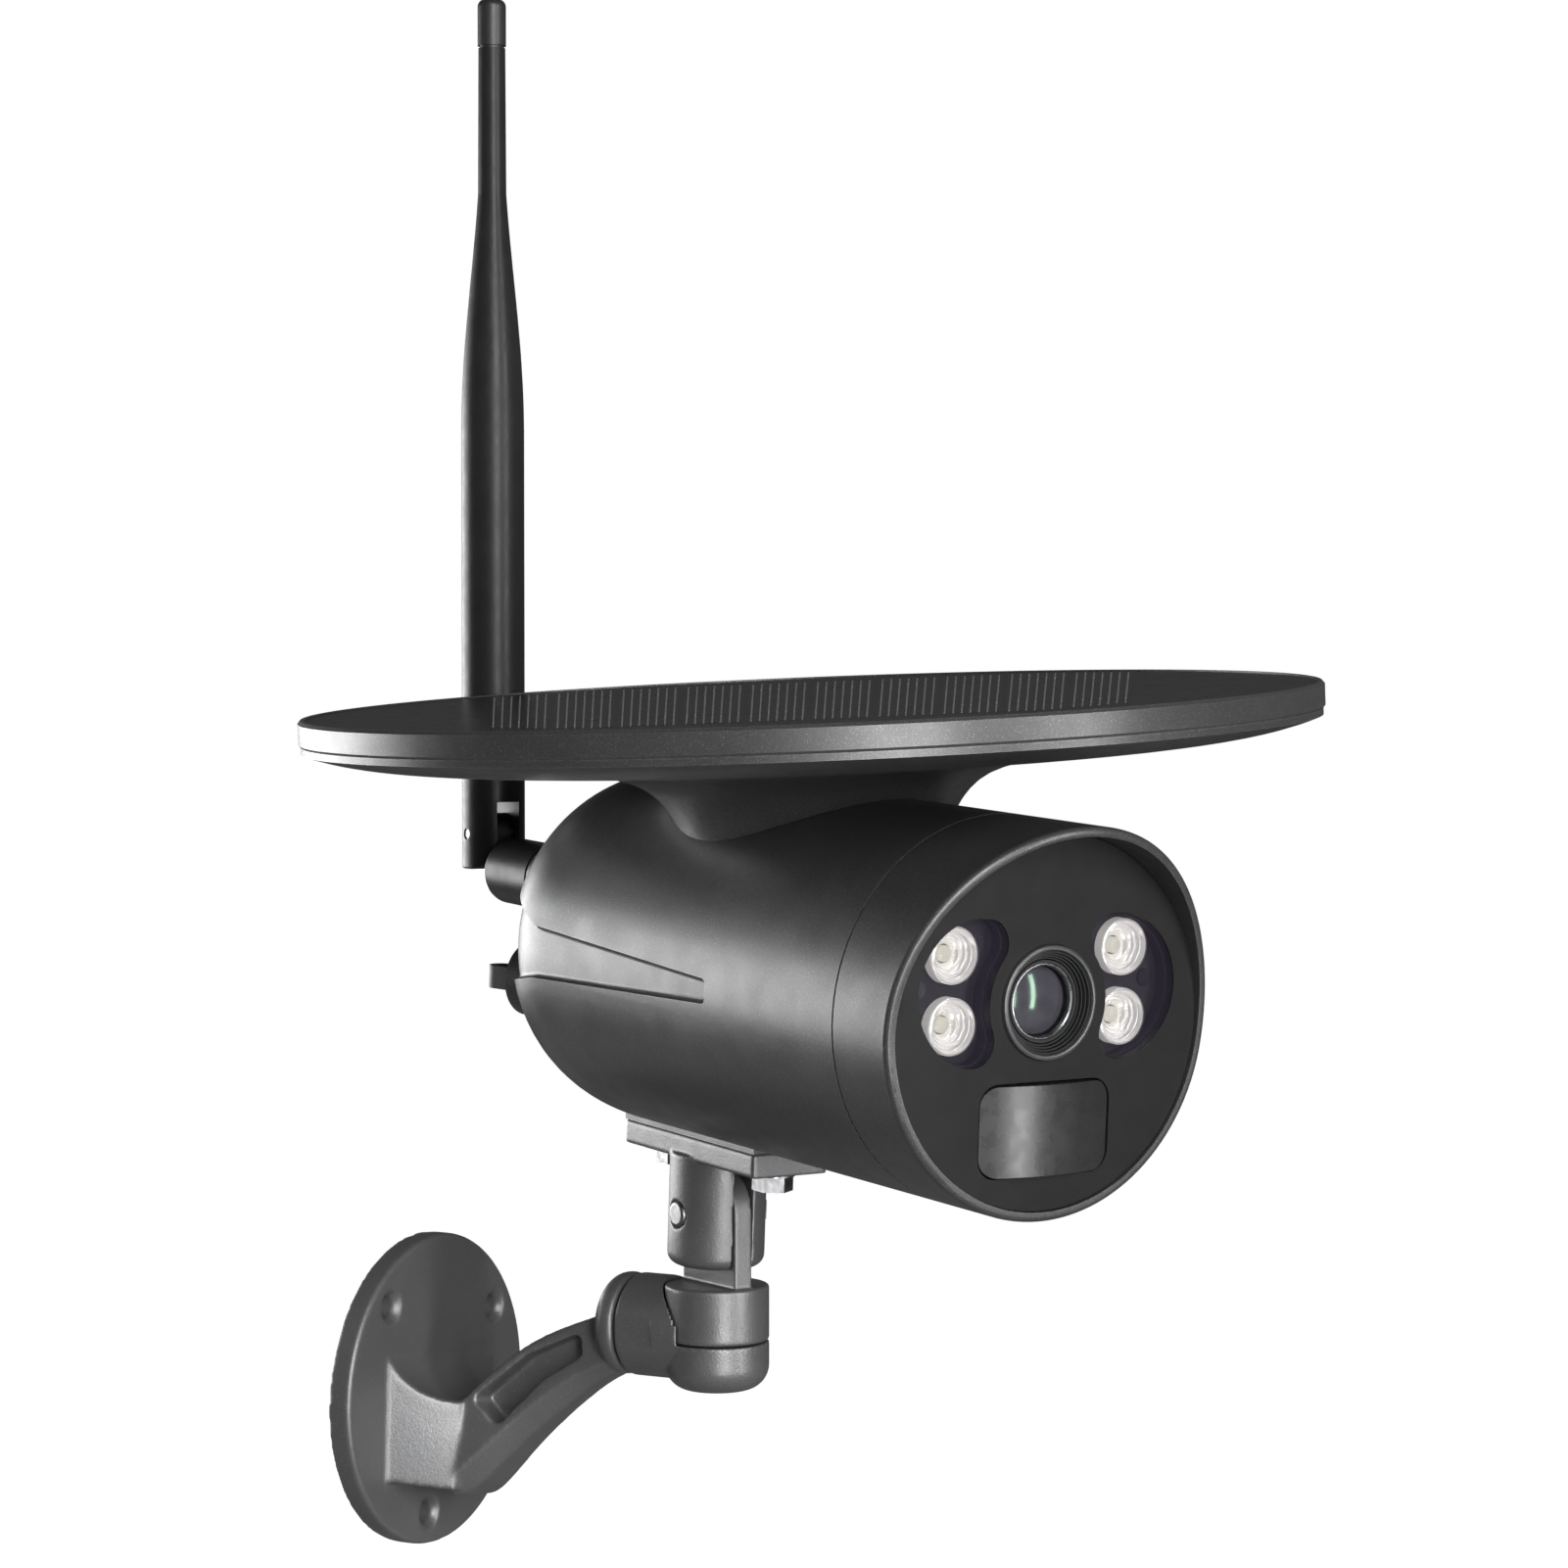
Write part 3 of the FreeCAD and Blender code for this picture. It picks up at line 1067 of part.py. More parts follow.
def make_whip_tip():
    neck = cyl(WHIP_TIP_R - 0.35, (0, 0, TIP_GROOVE + 0.02), Z_AXIS, 0.6)
    cap = cyl(WHIP_TIP_R + 0.15, (0, 0, TIP_GROOVE + 0.5), Z_AXIS, WHIP_LENGTH - TIP_GROOVE - 0.5)
    top = circles(cap, lambda e: e.CenterOfMass.z > WHIP_LENGTH - 0.1)
    cap = cap.makeFillet(1.6, top)
    return fuse_all([neck, cap]).cut(cyl(1.1, (0, 0, TIP_GROOVE - 1), Z_AXIS, 4.5))


def build_antenna():
    head("antenna_jack", make_antenna_jack())
    head("antenna_collar", make_antenna_collar())
    head("antenna_knuckle", make_antenna_knuckle())
    whip_piece("antenna_whip", make_whip_sleeve())
    whip_piece("antenna_tip", make_whip_tip())
    whip_piece("antenna_pin", cyl(1.18, (-WHIP_R + 0.35, 0, 0), X_AXIS, 2 * WHIP_R - 0.7))
    element = cyl(1.05, (0, 0, FORK_SLOT_TOP + 0.2), Z_AXIS, TIP_GROOVE - FORK_SLOT_TOP + 2)
    whip_piece("antenna_element", element)


# ---- write --------------------------------------------------------------------------------------------

def main():
    build_wall_bracket()
    build_swivel()
    build_tilt_fork()
    build_body()
    build_panel()
    build_antenna()
    os.makedirs("parts", exist_ok=True)
    for name, shape in PARTS.items():
        shape.exportStep("parts/" + name + ".step")
        state = "valid" if shape.isValid() else "INVALID"
        print(name, state, len(shape.Solids), round(shape.Volume / 1000, 2), "cm3")


main()
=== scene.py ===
"""Looks of a solar security camera on its wall bracket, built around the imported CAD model.

Metres, in the CAD frame: the wall is the plane Y = 0 and +Z is up. Places come from the frame: joints give
the head's axes, and the loose solids of the CAD nodes give where each lamp and the lens sit.
"""

import json
import math

import bmesh
import bpy
from mathutils import Matrix, Vector


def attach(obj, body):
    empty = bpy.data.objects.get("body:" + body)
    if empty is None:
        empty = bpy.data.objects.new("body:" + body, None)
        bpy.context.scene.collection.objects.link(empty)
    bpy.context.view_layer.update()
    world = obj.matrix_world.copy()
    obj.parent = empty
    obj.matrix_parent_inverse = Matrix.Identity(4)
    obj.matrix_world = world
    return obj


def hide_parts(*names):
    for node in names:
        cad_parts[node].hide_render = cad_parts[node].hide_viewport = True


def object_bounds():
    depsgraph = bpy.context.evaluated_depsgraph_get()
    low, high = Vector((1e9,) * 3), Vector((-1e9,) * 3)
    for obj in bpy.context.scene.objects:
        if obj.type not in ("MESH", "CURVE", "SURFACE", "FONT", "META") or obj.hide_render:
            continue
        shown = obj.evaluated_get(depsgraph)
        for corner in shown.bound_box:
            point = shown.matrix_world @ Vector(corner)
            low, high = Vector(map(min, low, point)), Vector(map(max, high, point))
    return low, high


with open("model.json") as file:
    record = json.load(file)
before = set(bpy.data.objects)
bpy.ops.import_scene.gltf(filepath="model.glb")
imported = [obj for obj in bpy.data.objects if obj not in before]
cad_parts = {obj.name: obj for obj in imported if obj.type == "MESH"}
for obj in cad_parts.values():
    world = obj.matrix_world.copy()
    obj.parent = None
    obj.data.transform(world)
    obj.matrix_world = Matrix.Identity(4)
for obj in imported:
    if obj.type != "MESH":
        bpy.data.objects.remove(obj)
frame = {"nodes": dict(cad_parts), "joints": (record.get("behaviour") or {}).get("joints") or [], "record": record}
cad_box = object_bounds()
MM = 0.001
SAME_POINT = 1e-6
SAME_RING_POINT = 1e-8
ON_AXIS = 1e-7

# ---- frames -------------------------------------------------------------------------------------------

JOINTS = {joint["name"]: joint for joint in frame["joints"]}


def head_matrix():
    """Tilt pivot as origin, X to the camera's own side, Y to its rear, Z up from the bracket."""
    side = Vector(JOINTS["tilt"]["axis"]).normalized()
    rear = Vector(JOINTS["antenna_turn"]["axis"])
    up = side.cross(rear).normalized()
    rear = up.cross(side)
    turn = Matrix((side, rear, up)).transposed().to_4x4()
    return Matrix.Translation(Vector(JOINTS["tilt"]["pos_m"])) @ turn


HEAD = head_matrix()
HEAD_BACK = HEAD.inverted()


def islands(node):
    """(low corner, high corner) of each loose solid of a CAD node, in the head's frame."""
    mesh = bmesh.new()
    mesh.from_mesh(frame["nodes"][node].data)
    bmesh.ops.remove_doubles(mesh, verts=mesh.verts, dist=SAME_POINT)
    left = set(mesh.verts)
    found = []
    while left:
        queue = [left.pop()]
        points = []
        while queue:
            vert = queue.pop()
            points.append(HEAD_BACK @ vert.co)
            for edge in vert.link_edges:
                other = edge.other_vert(vert)
                if other in left:
                    left.remove(other)
                    queue.append(other)
        low = Vector(min(p[i] for p in points) for i in range(3))
        high = Vector(max(p[i] for p in points) for i in range(3))
        found.append((low, high))
    mesh.free()
    return sorted(found, key=lambda box: tuple(round(c, 5) for c in box[0]))


def middle(box):
    return (box[0] + box[1]) / 2


# ---- meshes -------------------------------------------------------------------------------------------

SMOOTH_ANGLE = math.radians(32)
RELAX_FACTOR = 0.5
CAST_KEEP = 0.5


def add_object(name, mesh, material):
    piece = bpy.data.objects.new(name, mesh)
    bpy.context.scene.collection.objects.link(piece)
    if material:
        mesh.materials.clear()
        mesh.materials.append(material)
    return piece


def finish_mesh(mesh, name, to=Matrix.Identity(4)):
    """Turns a bmesh into mesh data, moved by `to`, smooth but for its real edges."""
    bmesh.ops.recalc_face_normals(mesh, faces=mesh.faces)
    mesh.transform(to)
    data = bpy.data.meshes.new(name)
    mesh.to_mesh(data)
    mesh.free()
    data.shade_smooth()
    data.set_sharp_from_angle(angle=SMOOTH_ANGLE)
    return data


def closed_lathe(mesh, profile, centre, segments):
    """Adds a form turned about the Y direction through centre. profile: (radius, y) round its section."""
    rings = []
    for radius, y in profile + profile[:1]:
        if radius < ON_AXIS:
            rings.append([mesh.verts.new(centre + Vector((0, y, 0)))])
            continue
        angles = [2 * math.pi * k / segments for k in range(segments)]
        rings.append([mesh.verts.new(centre + Vector((radius * math.cos(a), y, radius * math.sin(a))))
                      for a in angles])
    for one, two in zip(rings, rings[1:]):
        for k in range(segments):
            nxt = (k + 1) % segments
            if len(one) == 1 and len(two) > 1:
                mesh.faces.new((one[0], two[nxt], two[k]))
            elif len(two) == 1 and len(one) > 1:
                mesh.faces.new((one[k], one[nxt], two[0]))
            elif len(one) > 1:
                mesh.faces.new((one[k], one[nxt], two[nxt], two[k]))
    bmesh.ops.remove_doubles(mesh, verts=mesh.verts, dist=SAME_RING_POINT)


def make_piece(name, build, material, body, replaced, to=HEAD):
    """Builds a mesh with build(mesh) in the frame `to`, hung on a body in place of the replaced nodes."""
    mesh = bmesh.new()
    build(mesh)
    piece = add_object(name, finish_mesh(mesh, name, to), material)
    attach(piece, body)
    if replaced:
        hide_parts(*replaced)


def cast_copy(node, name, material, body, voxel, rounds):
    """Copy of a CAD casting with the soft edges of a real one: remeshed, then relaxed a little."""
    piece = add_object(name, frame["nodes"][node].data.copy(), None)
    remesh = piece.modifiers.new("remesh", "REMESH")
    remesh.mode = "VOXEL"
    remesh.voxel_size = voxel
    relax = piece.modifiers.new("relax", "SMOOTH")
    relax.factor = RELAX_FACTOR
    relax.iterations = rounds
    thin = piece.modifiers.new("thin", "DECIMATE")
    thin.ratio = CAST_KEEP
    graph = bpy.context.evaluated_depsgraph_get()
    done = bpy.data.meshes.new_from_object(piece.evaluated_get(graph))
    piece.modifiers.clear()
    piece.data = done
    done.name = name
    done.materials.clear()
    done.materials.append(material)
    done.shade_smooth()
    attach(piece, body)
    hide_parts(node)


# ---- materials ----------------------------------------------------------------------------------------

# Sockets of a colour Mix node, which share their names with its other types' sockets.
MIX_COLOR_INPUTS = (6, 7)
MIX_COLOR_OUTPUT = 2
# Part of a noise's range that its drift spans, and the size of a roughness drift beside the colour's.
DRIFT = (0.3, 0.7)
ROUGH_SIZE = 0.37
# Worn edges: where the rounded normal leaves the true one, and the patches the rubbing breaks into.
EDGE_DOT = (0.985, 0.8)
RUB_SIZE = 0.0011
RUB_BREAKS = (0.35, 0.62)


class Surface:
    """A node material around one Principled shader, with its coordinates in metres."""

    def __init__(self, name, color, roughness, metallic=0.0, **inputs):
        self.material = bpy.data.materials.new(name)
        self.material.use_nodes = True
        self.tree = self.material.node_tree
        self.shader = self.tree.nodes["Principled BSDF"]
        self.shader.inputs["Base Color"].default_value = (*color, 1.0)
        self.shader.inputs["Roughness"].default_value = roughness
        self.shader.inputs["Metallic"].default_value = metallic
        for key, value in inputs.items():
            self.shader.inputs[key.replace("_", " ")].default_value = value
        self.color = color
        self.roughness = roughness
        self.place = self.node("ShaderNodeTexCoord").outputs["Object"]
        self.normal = None

    def node(self, kind, **values):
        made = self.tree.nodes.new(kind)
        for key, value in values.items():
            setattr(made, key, value)
        return made

    def link(self, source, target):
        self.tree.links.new(source, target)

    def noise(self, size, detail=2.0):
        """Noise whose features are about size metres across."""
        texture = self.node("ShaderNodeTexNoise")
        texture.inputs["Scale"].default_value = 1 / size
        texture.inputs["Detail"].default_value = detail
        self.link(self.place, texture.inputs["Vector"])
        return texture.outputs["Fac"]

    def ramp(self, value, low, high, to_low=0.0, to_high=1.0):
        """Maps low..high to to_low..to_high."""
        mapped = self.node("ShaderNodeMapRange")
        for key, number in (("From Min", low), ("From Max", high), ("To Min", to_low), ("To Max", to_high)):
            mapped.inputs[key].default_value = number
        self.link(value, mapped.inputs["Value"])
        return mapped.outputs["Result"]

    def product(self, one, two):
        made = self.node("ShaderNodeMath", operation="MULTIPLY")
        self.link(one, made.inputs[0])
        self.link(two, made.inputs[1])
        return made.outputs["Value"]

    def mix(self, amount, one, two):
        made = self.node("ShaderNodeMix", data_type="RGBA")
        self.link(amount, made.inputs["Factor"])
        for index, value in zip(MIX_COLOR_INPUTS, (one, two)):
            if isinstance(value, tuple):
                made.inputs[index].default_value = (*value, 1.0)
            else:
                self.link(value, made.inputs[index])
        return made.outputs[MIX_COLOR_OUTPUT]

    def grain(self, size, depth, strength=1.0):
        """Fine relief as bump: size across and depth in metres. Calls stack."""
        bump = self.node("ShaderNodeBump")
        bump.inputs["Strength"].default_value = strength
        bump.inputs["Distance"].default_value = depth
        self.link(self.noise(size), bump.inputs["Height"])
        if self.normal:
            self.link(self.normal, bump.inputs["Normal"])
        self.normal = bump.outputs["Normal"]
        self.link(self.normal, self.shader.inputs["Normal"])
        return self

    def vary(self, size, spread, rough_spread=0.0):
        """Slow drift of colour and roughness over the surface."""
        drift = self.noise(size, 3.0)
        dark = tuple(c * (1 - spread) for c in self.color)
        light = tuple(min(1.0, c * (1 + spread)) for c in self.color)
        self.shade = self.mix(self.ramp(drift, *DRIFT), dark, light)
        self.link(self.shade, self.shader.inputs["Base Color"])
        if rough_spread:
            rough = self.ramp(self.noise(size * ROUGH_SIZE, 4.0), *DRIFT,
                              self.roughness - rough_spread, self.roughness + rough_spread)
            self.link(rough, self.shader.inputs["Roughness"])
        return self

    def flecks(self, size, threshold, color, width=0.06):
        """Tiny lighter flecks, such as the metallic grains of a powder coat."""
        speck = self.ramp(self.noise(size, 1.0), threshold, threshold + width)
        self.shade = self.mix(speck, self.shade, color)
        self.link(self.shade, self.shader.inputs["Base Color"])
        return self

    def worn_edges(self, radius, color, amount):
        """Paint rubbed thin where an edge stands proud."""
        bevel = self.node("ShaderNodeBevel", samples=4)
        bevel.inputs["Radius"].default_value = radius
        geometry = self.node("ShaderNodeNewGeometry")
        dot = self.node("ShaderNodeVectorMath", operation="DOT_PRODUCT")
        self.link(bevel.outputs["Normal"], dot.inputs[0])
        self.link(geometry.outputs["Normal"], dot.inputs[1])
        edge = self.ramp(dot.outputs["Value"], *EDGE_DOT, 0.0, amount)
        broken = self.ramp(self.noise(RUB_SIZE, 4.0), *RUB_BREAKS)
        self.shade = self.mix(self.product(edge, broken), self.shade, color)
        self.link(self.shade, self.shader.inputs["Base Color"])
        return self


def coat(name, color, roughness, grain_size, grain_depth, fleck, metallic):
    """Powder coat or textured paint: fine grain, metallic flecks, worn edges."""
    surface = Surface(name, color, roughness, metallic)
    surface.vary(0.02, 0.07, 0.04)
    surface.flecks(grain_size * 0.7, 0.62, fleck)
    surface.worn_edges(0.0005, tuple(min(1, c * 2.6) for c in color), 0.7)
    surface.grain(grain_size, grain_depth)
    surface.grain(grain_size * 3.1, grain_depth * 1.4, 0.5)
    return surface.material


def plastic(name, color, roughness, size=0.0004, depth=0.00001, **inputs):
    """Moulded plastic or rubber: an even sheen with a fine texture."""
    surface = Surface(name, color, roughness, **inputs)
    surface.vary(0.008, 0.12, min(0.05, roughness / 4))
    surface.grain(size, depth)
    return surface.material


def metal(name, color, roughness):
    surface = Surface(name, color, roughness, 1.0)
    surface.vary(0.003, 0.06, roughness * 0.3)
    surface.grain(0.0003, 0.000004, 0.6)
    return surface.material


def clear(name, color, roughness, alpha, **inputs):
    """Thin clear plastic: mostly seen through, with a little tint and gloss."""
    surface = Surface(name, color, roughness, Alpha=alpha, **inputs)
    surface.vary(0.004, 0.05, roughness / 3)
    surface.grain(0.004, 0.000004, 0.3)
    return surface.material


def board_material():
    """Green solder mask with faint tracks and gold pads."""
    surface = Surface("circuit_board", (0.02, 0.10, 0.045), 0.35)
    surface.vary(0.004, 0.25, 0.06)
    surface.flecks(0.0016, 0.66, (0.55, 0.42, 0.16), 0.02)
    surface.grain(0.0009, 0.00003)
    return surface.material


def glow(name, color, roughness, light, strength, metallic=0.0):
    """Painted glow for a lamp's bowl and chip: emission that keeps them bright whatever light reaches them through
    the optic, though the bowl is no lamp.
    """
    surface = Surface(name, color, roughness, metallic, Emission_Color=(*light, 1.0),
                      Emission_Strength=strength)
    return surface.vary(0.0006, 0.08).grain(0.0003, 0.000008, 0.6).material


MATERIALS = {
    "bracket_coat": coat("bracket_coat", (0.145, 0.145, 0.147), 0.42, 0.00042, 0.00004,
                         (0.19, 0.19, 0.195), 0.60),
    "housing_coat": coat("housing_coat", (0.060, 0.060, 0.061), 0.36, 0.00030, 0.000012,
                         (0.13, 0.13, 0.132), 0.50),
    "face_gloss": Surface("face_gloss", (0.014, 0.014, 0.014), 0.24, Specular_IOR_Level=0.16)
    .vary(0.01, 0.05, 0.02).grain(0.006, 0.000006, 0.4).material,
    "inner_black": plastic("inner_black", (0.008, 0.008, 0.0085), 0.55, Specular_IOR_Level=0.3),
    "pir_plastic": plastic("pir_plastic", (0.020, 0.020, 0.0205), 0.28, 0.0004, 0.000001),
    "clear_window": clear("clear_window", (0.030, 0.024, 0.042), 0.08, 0.16, Specular_IOR_Level=0.3),
    "lens_glass": Surface("lens_glass", (0.040, 0.037, 0.046), 0.14, Specular_IOR_Level=0.5,
                          Specular_Tint=(0.55, 0.95, 0.65, 1.0), Coat_Weight=0.10, Coat_Roughness=0.03)
    .vary(0.003, 0.12, 0.02).grain(0.004, 0.000003, 0.3).material,
    "led_optic": clear("led_optic", (0.26, 0.25, 0.28), 0.06, 0.16),
    # painted glow: emission stands in for the light the reflector bowl would throw back; the bowl is no lamp
    "reflector_chrome": glow("reflector_chrome", (0.90, 0.89, 0.87), 0.20, (1.0, 0.97, 0.91), 0.34,
                             0.6),
    # painted glow: emission keeps the chip bright whatever light reaches it through the optic
    "led_phosphor": glow("led_phosphor", (0.62, 0.60, 0.50), 0.40, (1.0, 0.96, 0.84), 0.30),
    "circuit_board": board_material(),
    "plated_steel": metal("plated_steel", (0.22, 0.22, 0.225), 0.36),
    "stainless": metal("stainless", (0.60, 0.60, 0.61), 0.28),
    "stainless_dark": metal("stainless_dark", (0.22, 0.22, 0.23), 0.30),
    "gold_brass": metal("gold_brass", (0.72, 0.53, 0.24), 0.22),
    "seal_rubber": plastic("seal_rubber", (0.010, 0.010, 0.0105), 0.62, 0.0003, 0.00002),
    "cover_rubber": plastic("cover_rubber", (0.026, 0.026, 0.027), 0.55, 0.0003, 0.00002),
    "whip_rubber": plastic("whip_rubber", (0.016, 0.016, 0.0163), 0.36, 0.00035, 0.00002,
                           Specular_IOR_Level=0.22),
    "tip_plastic": plastic("tip_plastic", (0.020, 0.020, 0.021), 0.42, 0.00035, 0.00001),
    "cell_wrap": plastic("cell_wrap", (0.03, 0.14, 0.30), 0.30),
    "solar_glass": Surface("solar_glass", (0.030, 0.030, 0.031), 0.34, Specular_IOR_Level=0.10)
    .vary(0.01, 0.1, 0.03).grain(0.0006, 0.000003, 0.5).material,
    "solar_cell": Surface("solar_cell", (0.024, 0.024, 0.027), 0.32, Specular_IOR_Level=0.12)
    .vary(0.004, 0.14, 0.04).grain(0.0004, 0.000003, 0.5).material,
    "silver_print": plastic("silver_print", (0.24, 0.24, 0.245), 0.45, 0.0004, 0.000004),
    "button_plastic": plastic("button_plastic", (0.16, 0.16, 0.165), 0.42),
}


def dress_nodes():
    """Gives every CAD node the material of its slot."""
    for part in frame["record"]["subparts"]:
        data = frame["nodes"][part["node"]].data
        data.materials.clear()
        data.materials.append(MATERIALS[part["material_slot"]])


dress_nodes()

# ---- castings -----------------------------------------------------------------------------------------

# CAD node, piece, body, voxel in mm, rounds of relaxing.
CASTINGS = (("bracket_arm", "wall_casting", "wall_bracket", 0.45, 10),
            ("elbow_cup", "elbow_casting", "elbow", 0.3, 5),
            ("swivel_post", "swivel_casting", "swivel", 0.3, 5),
            ("mount_fork", "fork_casting", "camera_head", 0.3, 5))
for node, name, body, voxel, rounds in CASTINGS:
    cast_copy(node, name, MATERIALS["bracket_coat"], body, voxel * MM, rounds)

# ---- lamps --------------------------------------------------------------------------------------------

LAMP_BOXES = islands("led_reflectors")
LAMPS = [middle(box) for box in LAMP_BOXES]
LAMP_FRONT = min(box[0].y for box in LAMP_BOXES)
LAMP_BACK = max(box[1].y for box in LAMP_BOXES)
# Radius and depth of a bowl, in mm.
BOWL_R = (LAMP_BOXES[0][1].x - LAMP_BOXES[0][0].x) / 2 / MM
BOWL_DEPTH = (LAMP_BACK - LAMP_FRONT) / MM


def at_lamps(profile, segments=72):
    """Builder that turns one profile, in (radius, depth behind the lamp's front) mm, at every lamp."""
    def build(mesh):
        for lamp in LAMPS:
            centre = Vector((lamp.x, 0, lamp.z))
            closed_lathe(mesh, [(r * MM, LAMP_FRONT + y * MM) for r, y in profile], centre, segments)
    return build


# Stepped bowl, domed chip and bull's-eye optic. The bowl's steps are (in from its rim, depth).
BOWL_STEPS = ((0.0, 0.25), (0.15, 0.05), (0.4, 0.0), (0.55, 0.3), (0.85, 0.75), (1.0, 0.68), (1.35, 1.0),
              (1.6, 1.55), (1.8, 1.46), (2.15, 1.85), (2.4, 2.45), (2.6, 2.36), (3.0, 2.8))
BOWL = [(BOWL_R - inward, depth) for inward, depth in BOWL_STEPS]
BOWL += [(1.75, 3.4), (1.75, BOWL_DEPTH), (BOWL_R, BOWL_DEPTH)]
CHIP = [(0.0, 2.15), (0.7, 2.2), (1.15, 2.38), (1.4, 2.75), (1.48, 3.2), (1.48, BOWL_DEPTH),
        (0.0, BOWL_DEPTH)]
OPTIC = [(0.0, -1.18), (0.9, -1.14), (1.8, -1.02), (2.7, -0.82), (3.5, -0.55), (4.1, -0.24), (4.3, -0.2),
         (4.4, -0.4), (4.95, -0.4), (5.05, -0.32), (5.05, -0.03), (0.0, -0.03)]
# The bowls and chips carry painted glow from their materials.
make_piece("lamp_bowls", at_lamps(BOWL), MATERIALS["reflector_chrome"], "camera_head", ("led_reflectors",))
make_piece("lamp_chips", at_lamps(CHIP, 48), MATERIALS["led_phosphor"], "camera_head", ("led_chips",))
make_piece("lamp_optics", at_lamps(OPTIC), MATERIALS["led_optic"], "camera_head", ("led_lenses",))

# ---- lens ---------------------------------------------------------------------------------------------

LENS_BOX = islands("lens_ring")[0]
LENS = Vector((middle(LENS_BOX).x, 0, middle(LENS_BOX).z))
LENS_RING_R = (LENS_BOX[1].x - LENS_BOX[0].x) / 2 / MM
LENS_RING_T = (LENS_BOX[1].y - LENS_BOX[0].y) / MM
GLASS_FRONT = islands("lens_glass")[0][0].y
LENS_SEGMENTS = 128


def at_lens(profile, front):
    """Builder that turns a profile, in (radius, depth behind front) mm, about the lens."""
    def build(mesh):
        closed_lathe(mesh, [(r * MM, front + y * MM) for r, y in profile], LENS, LENS_SEGMENTS)
    return build


# Rounded outer bead: (in from the ring's edge, depth).
BEAD_STEPS = ((0.0, LENS_RING_T), (0.0, 0.5), (0.12, 0.2), (0.38, 0.03), (0.62, 0.0), (0.86, 0.07),
              (1.02, 0.28), (1.08, 0.6), (1.08, LENS_RING_T))
BEAD = [(LENS_RING_R - inward, depth) for inward, depth in BEAD_STEPS]
# Funnel of light-trap steps inside the bead.
STEP_COUNT = 4
STEP_INSET = 1.11
STEP_WIDTH = 0.42
STEP_TOP = 0.75
STEP_DROP = 0.55
STEP_CHAMFER = 0.08
STEP_FLAT = 0.30
STEP_R = [LENS_RING_R - STEP_INSET - STEP_WIDTH * k for k in range(STEP_COUNT + 1)]
STEPS = [(STEP_R[0], LENS_RING_T)]
for step, radius in enumerate(STEP_R[:STEP_COUNT]):
    depth = STEP_TOP + STEP_DROP * step
    STEPS += [(radius, depth), (radius - STEP_CHAMFER, depth - STEP_CHAMFER),
              (radius - STEP_FLAT, depth - STEP_CHAMFER), (STEP_R[step + 1], depth + 0.2)]
STEPS += [(STEP_R[STEP_COUNT], LENS_RING_T)]
make_piece("lens_bead", at_lens(BEAD, LENS_BOX[0].y), MATERIALS["housing_coat"], "camera_head",
           ("lens_ring",))
make_piece("lens_steps", at_lens(STEPS, LENS_BOX[0].y), MATERIALS["inner_black"], "camera_head", ())
RETAINER = [(6.95, 0.9), (6.95, 0.15), (6.85, 0.03), (6.55, 0.0), (6.32, 0.18), (6.26, 0.9)]
RETAINER_STANDS = 0.9 * MM
make_piece("glass_retainer", at_lens(RETAINER, GLASS_FRONT - RETAINER_STANDS), MATERIALS["stainless_dark"],
           "camera_head", ())
CROWN = [(0.0, -0.55), (0.8, -0.53), (1.6, -0.46), (2.4, -0.34), (3.2, -0.17), (4.0, 0.06), (4.8, 0.35),
         (5.5, 0.66), (6.1, 0.98), (6.2, 1.2), (6.2, 1.6), (0.0, 1.6)]
make_piece("front_glass", at_lens(CROWN, GLASS_FRONT), MATERIALS["lens_glass"], "camera_head",
           ("lens_glass",))

# ---- solar face ---------------------------------------------------------------------------------------

CELL_COLUMNS = 10
FINGERS = 7
FINGER_PITCH = 1.65 * MM
COLUMN_PITCH = 12.4 * MM
FINGER_W = 0.30 * MM
CELL_REACH = 76.5 * MM
CELL_ROUND = 88.0 * MM
ROW_BREAK = 47.0 * MM
ROW_GAP = 0.9 * MM
# The fingers' slope: how soon they would meet in front, their common lean and its growth across the panel.
FAN_REACH = 0.80
FAN_LEAN = 0.0082
FAN_GROWTH = 0.0061
# Heights above the laminate's face.
CELL_LEVELS = (0.012 * MM, 0.04 * MM)
FINGER_LEVELS = (0.045 * MM, 0.08 * MM)
FINGER_INSET = 0.6 * MM
CELL_MARGIN = 0.9 * MM
CELL_ROWS = 4
CELL_TURN = math.radians(-34.2)
# The laminate's upper face: how upright its normals are, and how level its corners.
FACES_UP = 0.9
LEVEL_GAP = 1e-5


def panel_matrix():
    """Centre of the laminate's upper face as origin, Z its normal, from the laminate's own mesh."""
    data = frame["nodes"]["solar_laminate"].data
    up = Vector()
    for face in data.polygons:
        if face.normal.z > FACES_UP:
            up += face.normal * face.area
    up.normalize()
    height = max(up.dot(v.co) for v in data.vertices)
    rim = [v.co for v in data.vertices if up.dot(v.co) > height - LEVEL_GAP]
    low = Vector(min(p[i] for p in rim) for i in range(3))
    high = Vector(max(p[i] for p in rim) for i in range(3))
    centre = (low + high) / 2
    rear = Vector(JOINTS["antenna_turn"]["axis"])
    side = rear.cross(up).normalized()
    rear = up.cross(side)
    turn = Matrix((side, rear, up)).transposed().to_4x4()
    return Matrix.Translation(centre) @ turn @ Matrix.Rotation(CELL_TURN, 4, "Z")


PANEL = panel_matrix()


def cell_reach(x):
    """How far the cells run to each side of the middle line at x, inside the round panel."""
    return min(CELL_REACH, math.sqrt(max(0.0, CELL_ROUND ** 2 - x * x)))


def fan(x, y):
    """The rows of fingers fan out a little towards the rear of the panel."""
    return Vector((x * (1 + y / FAN_REACH) + FAN_LEAN * y + FAN_GROWTH * y * x / CELL_REACH, y))


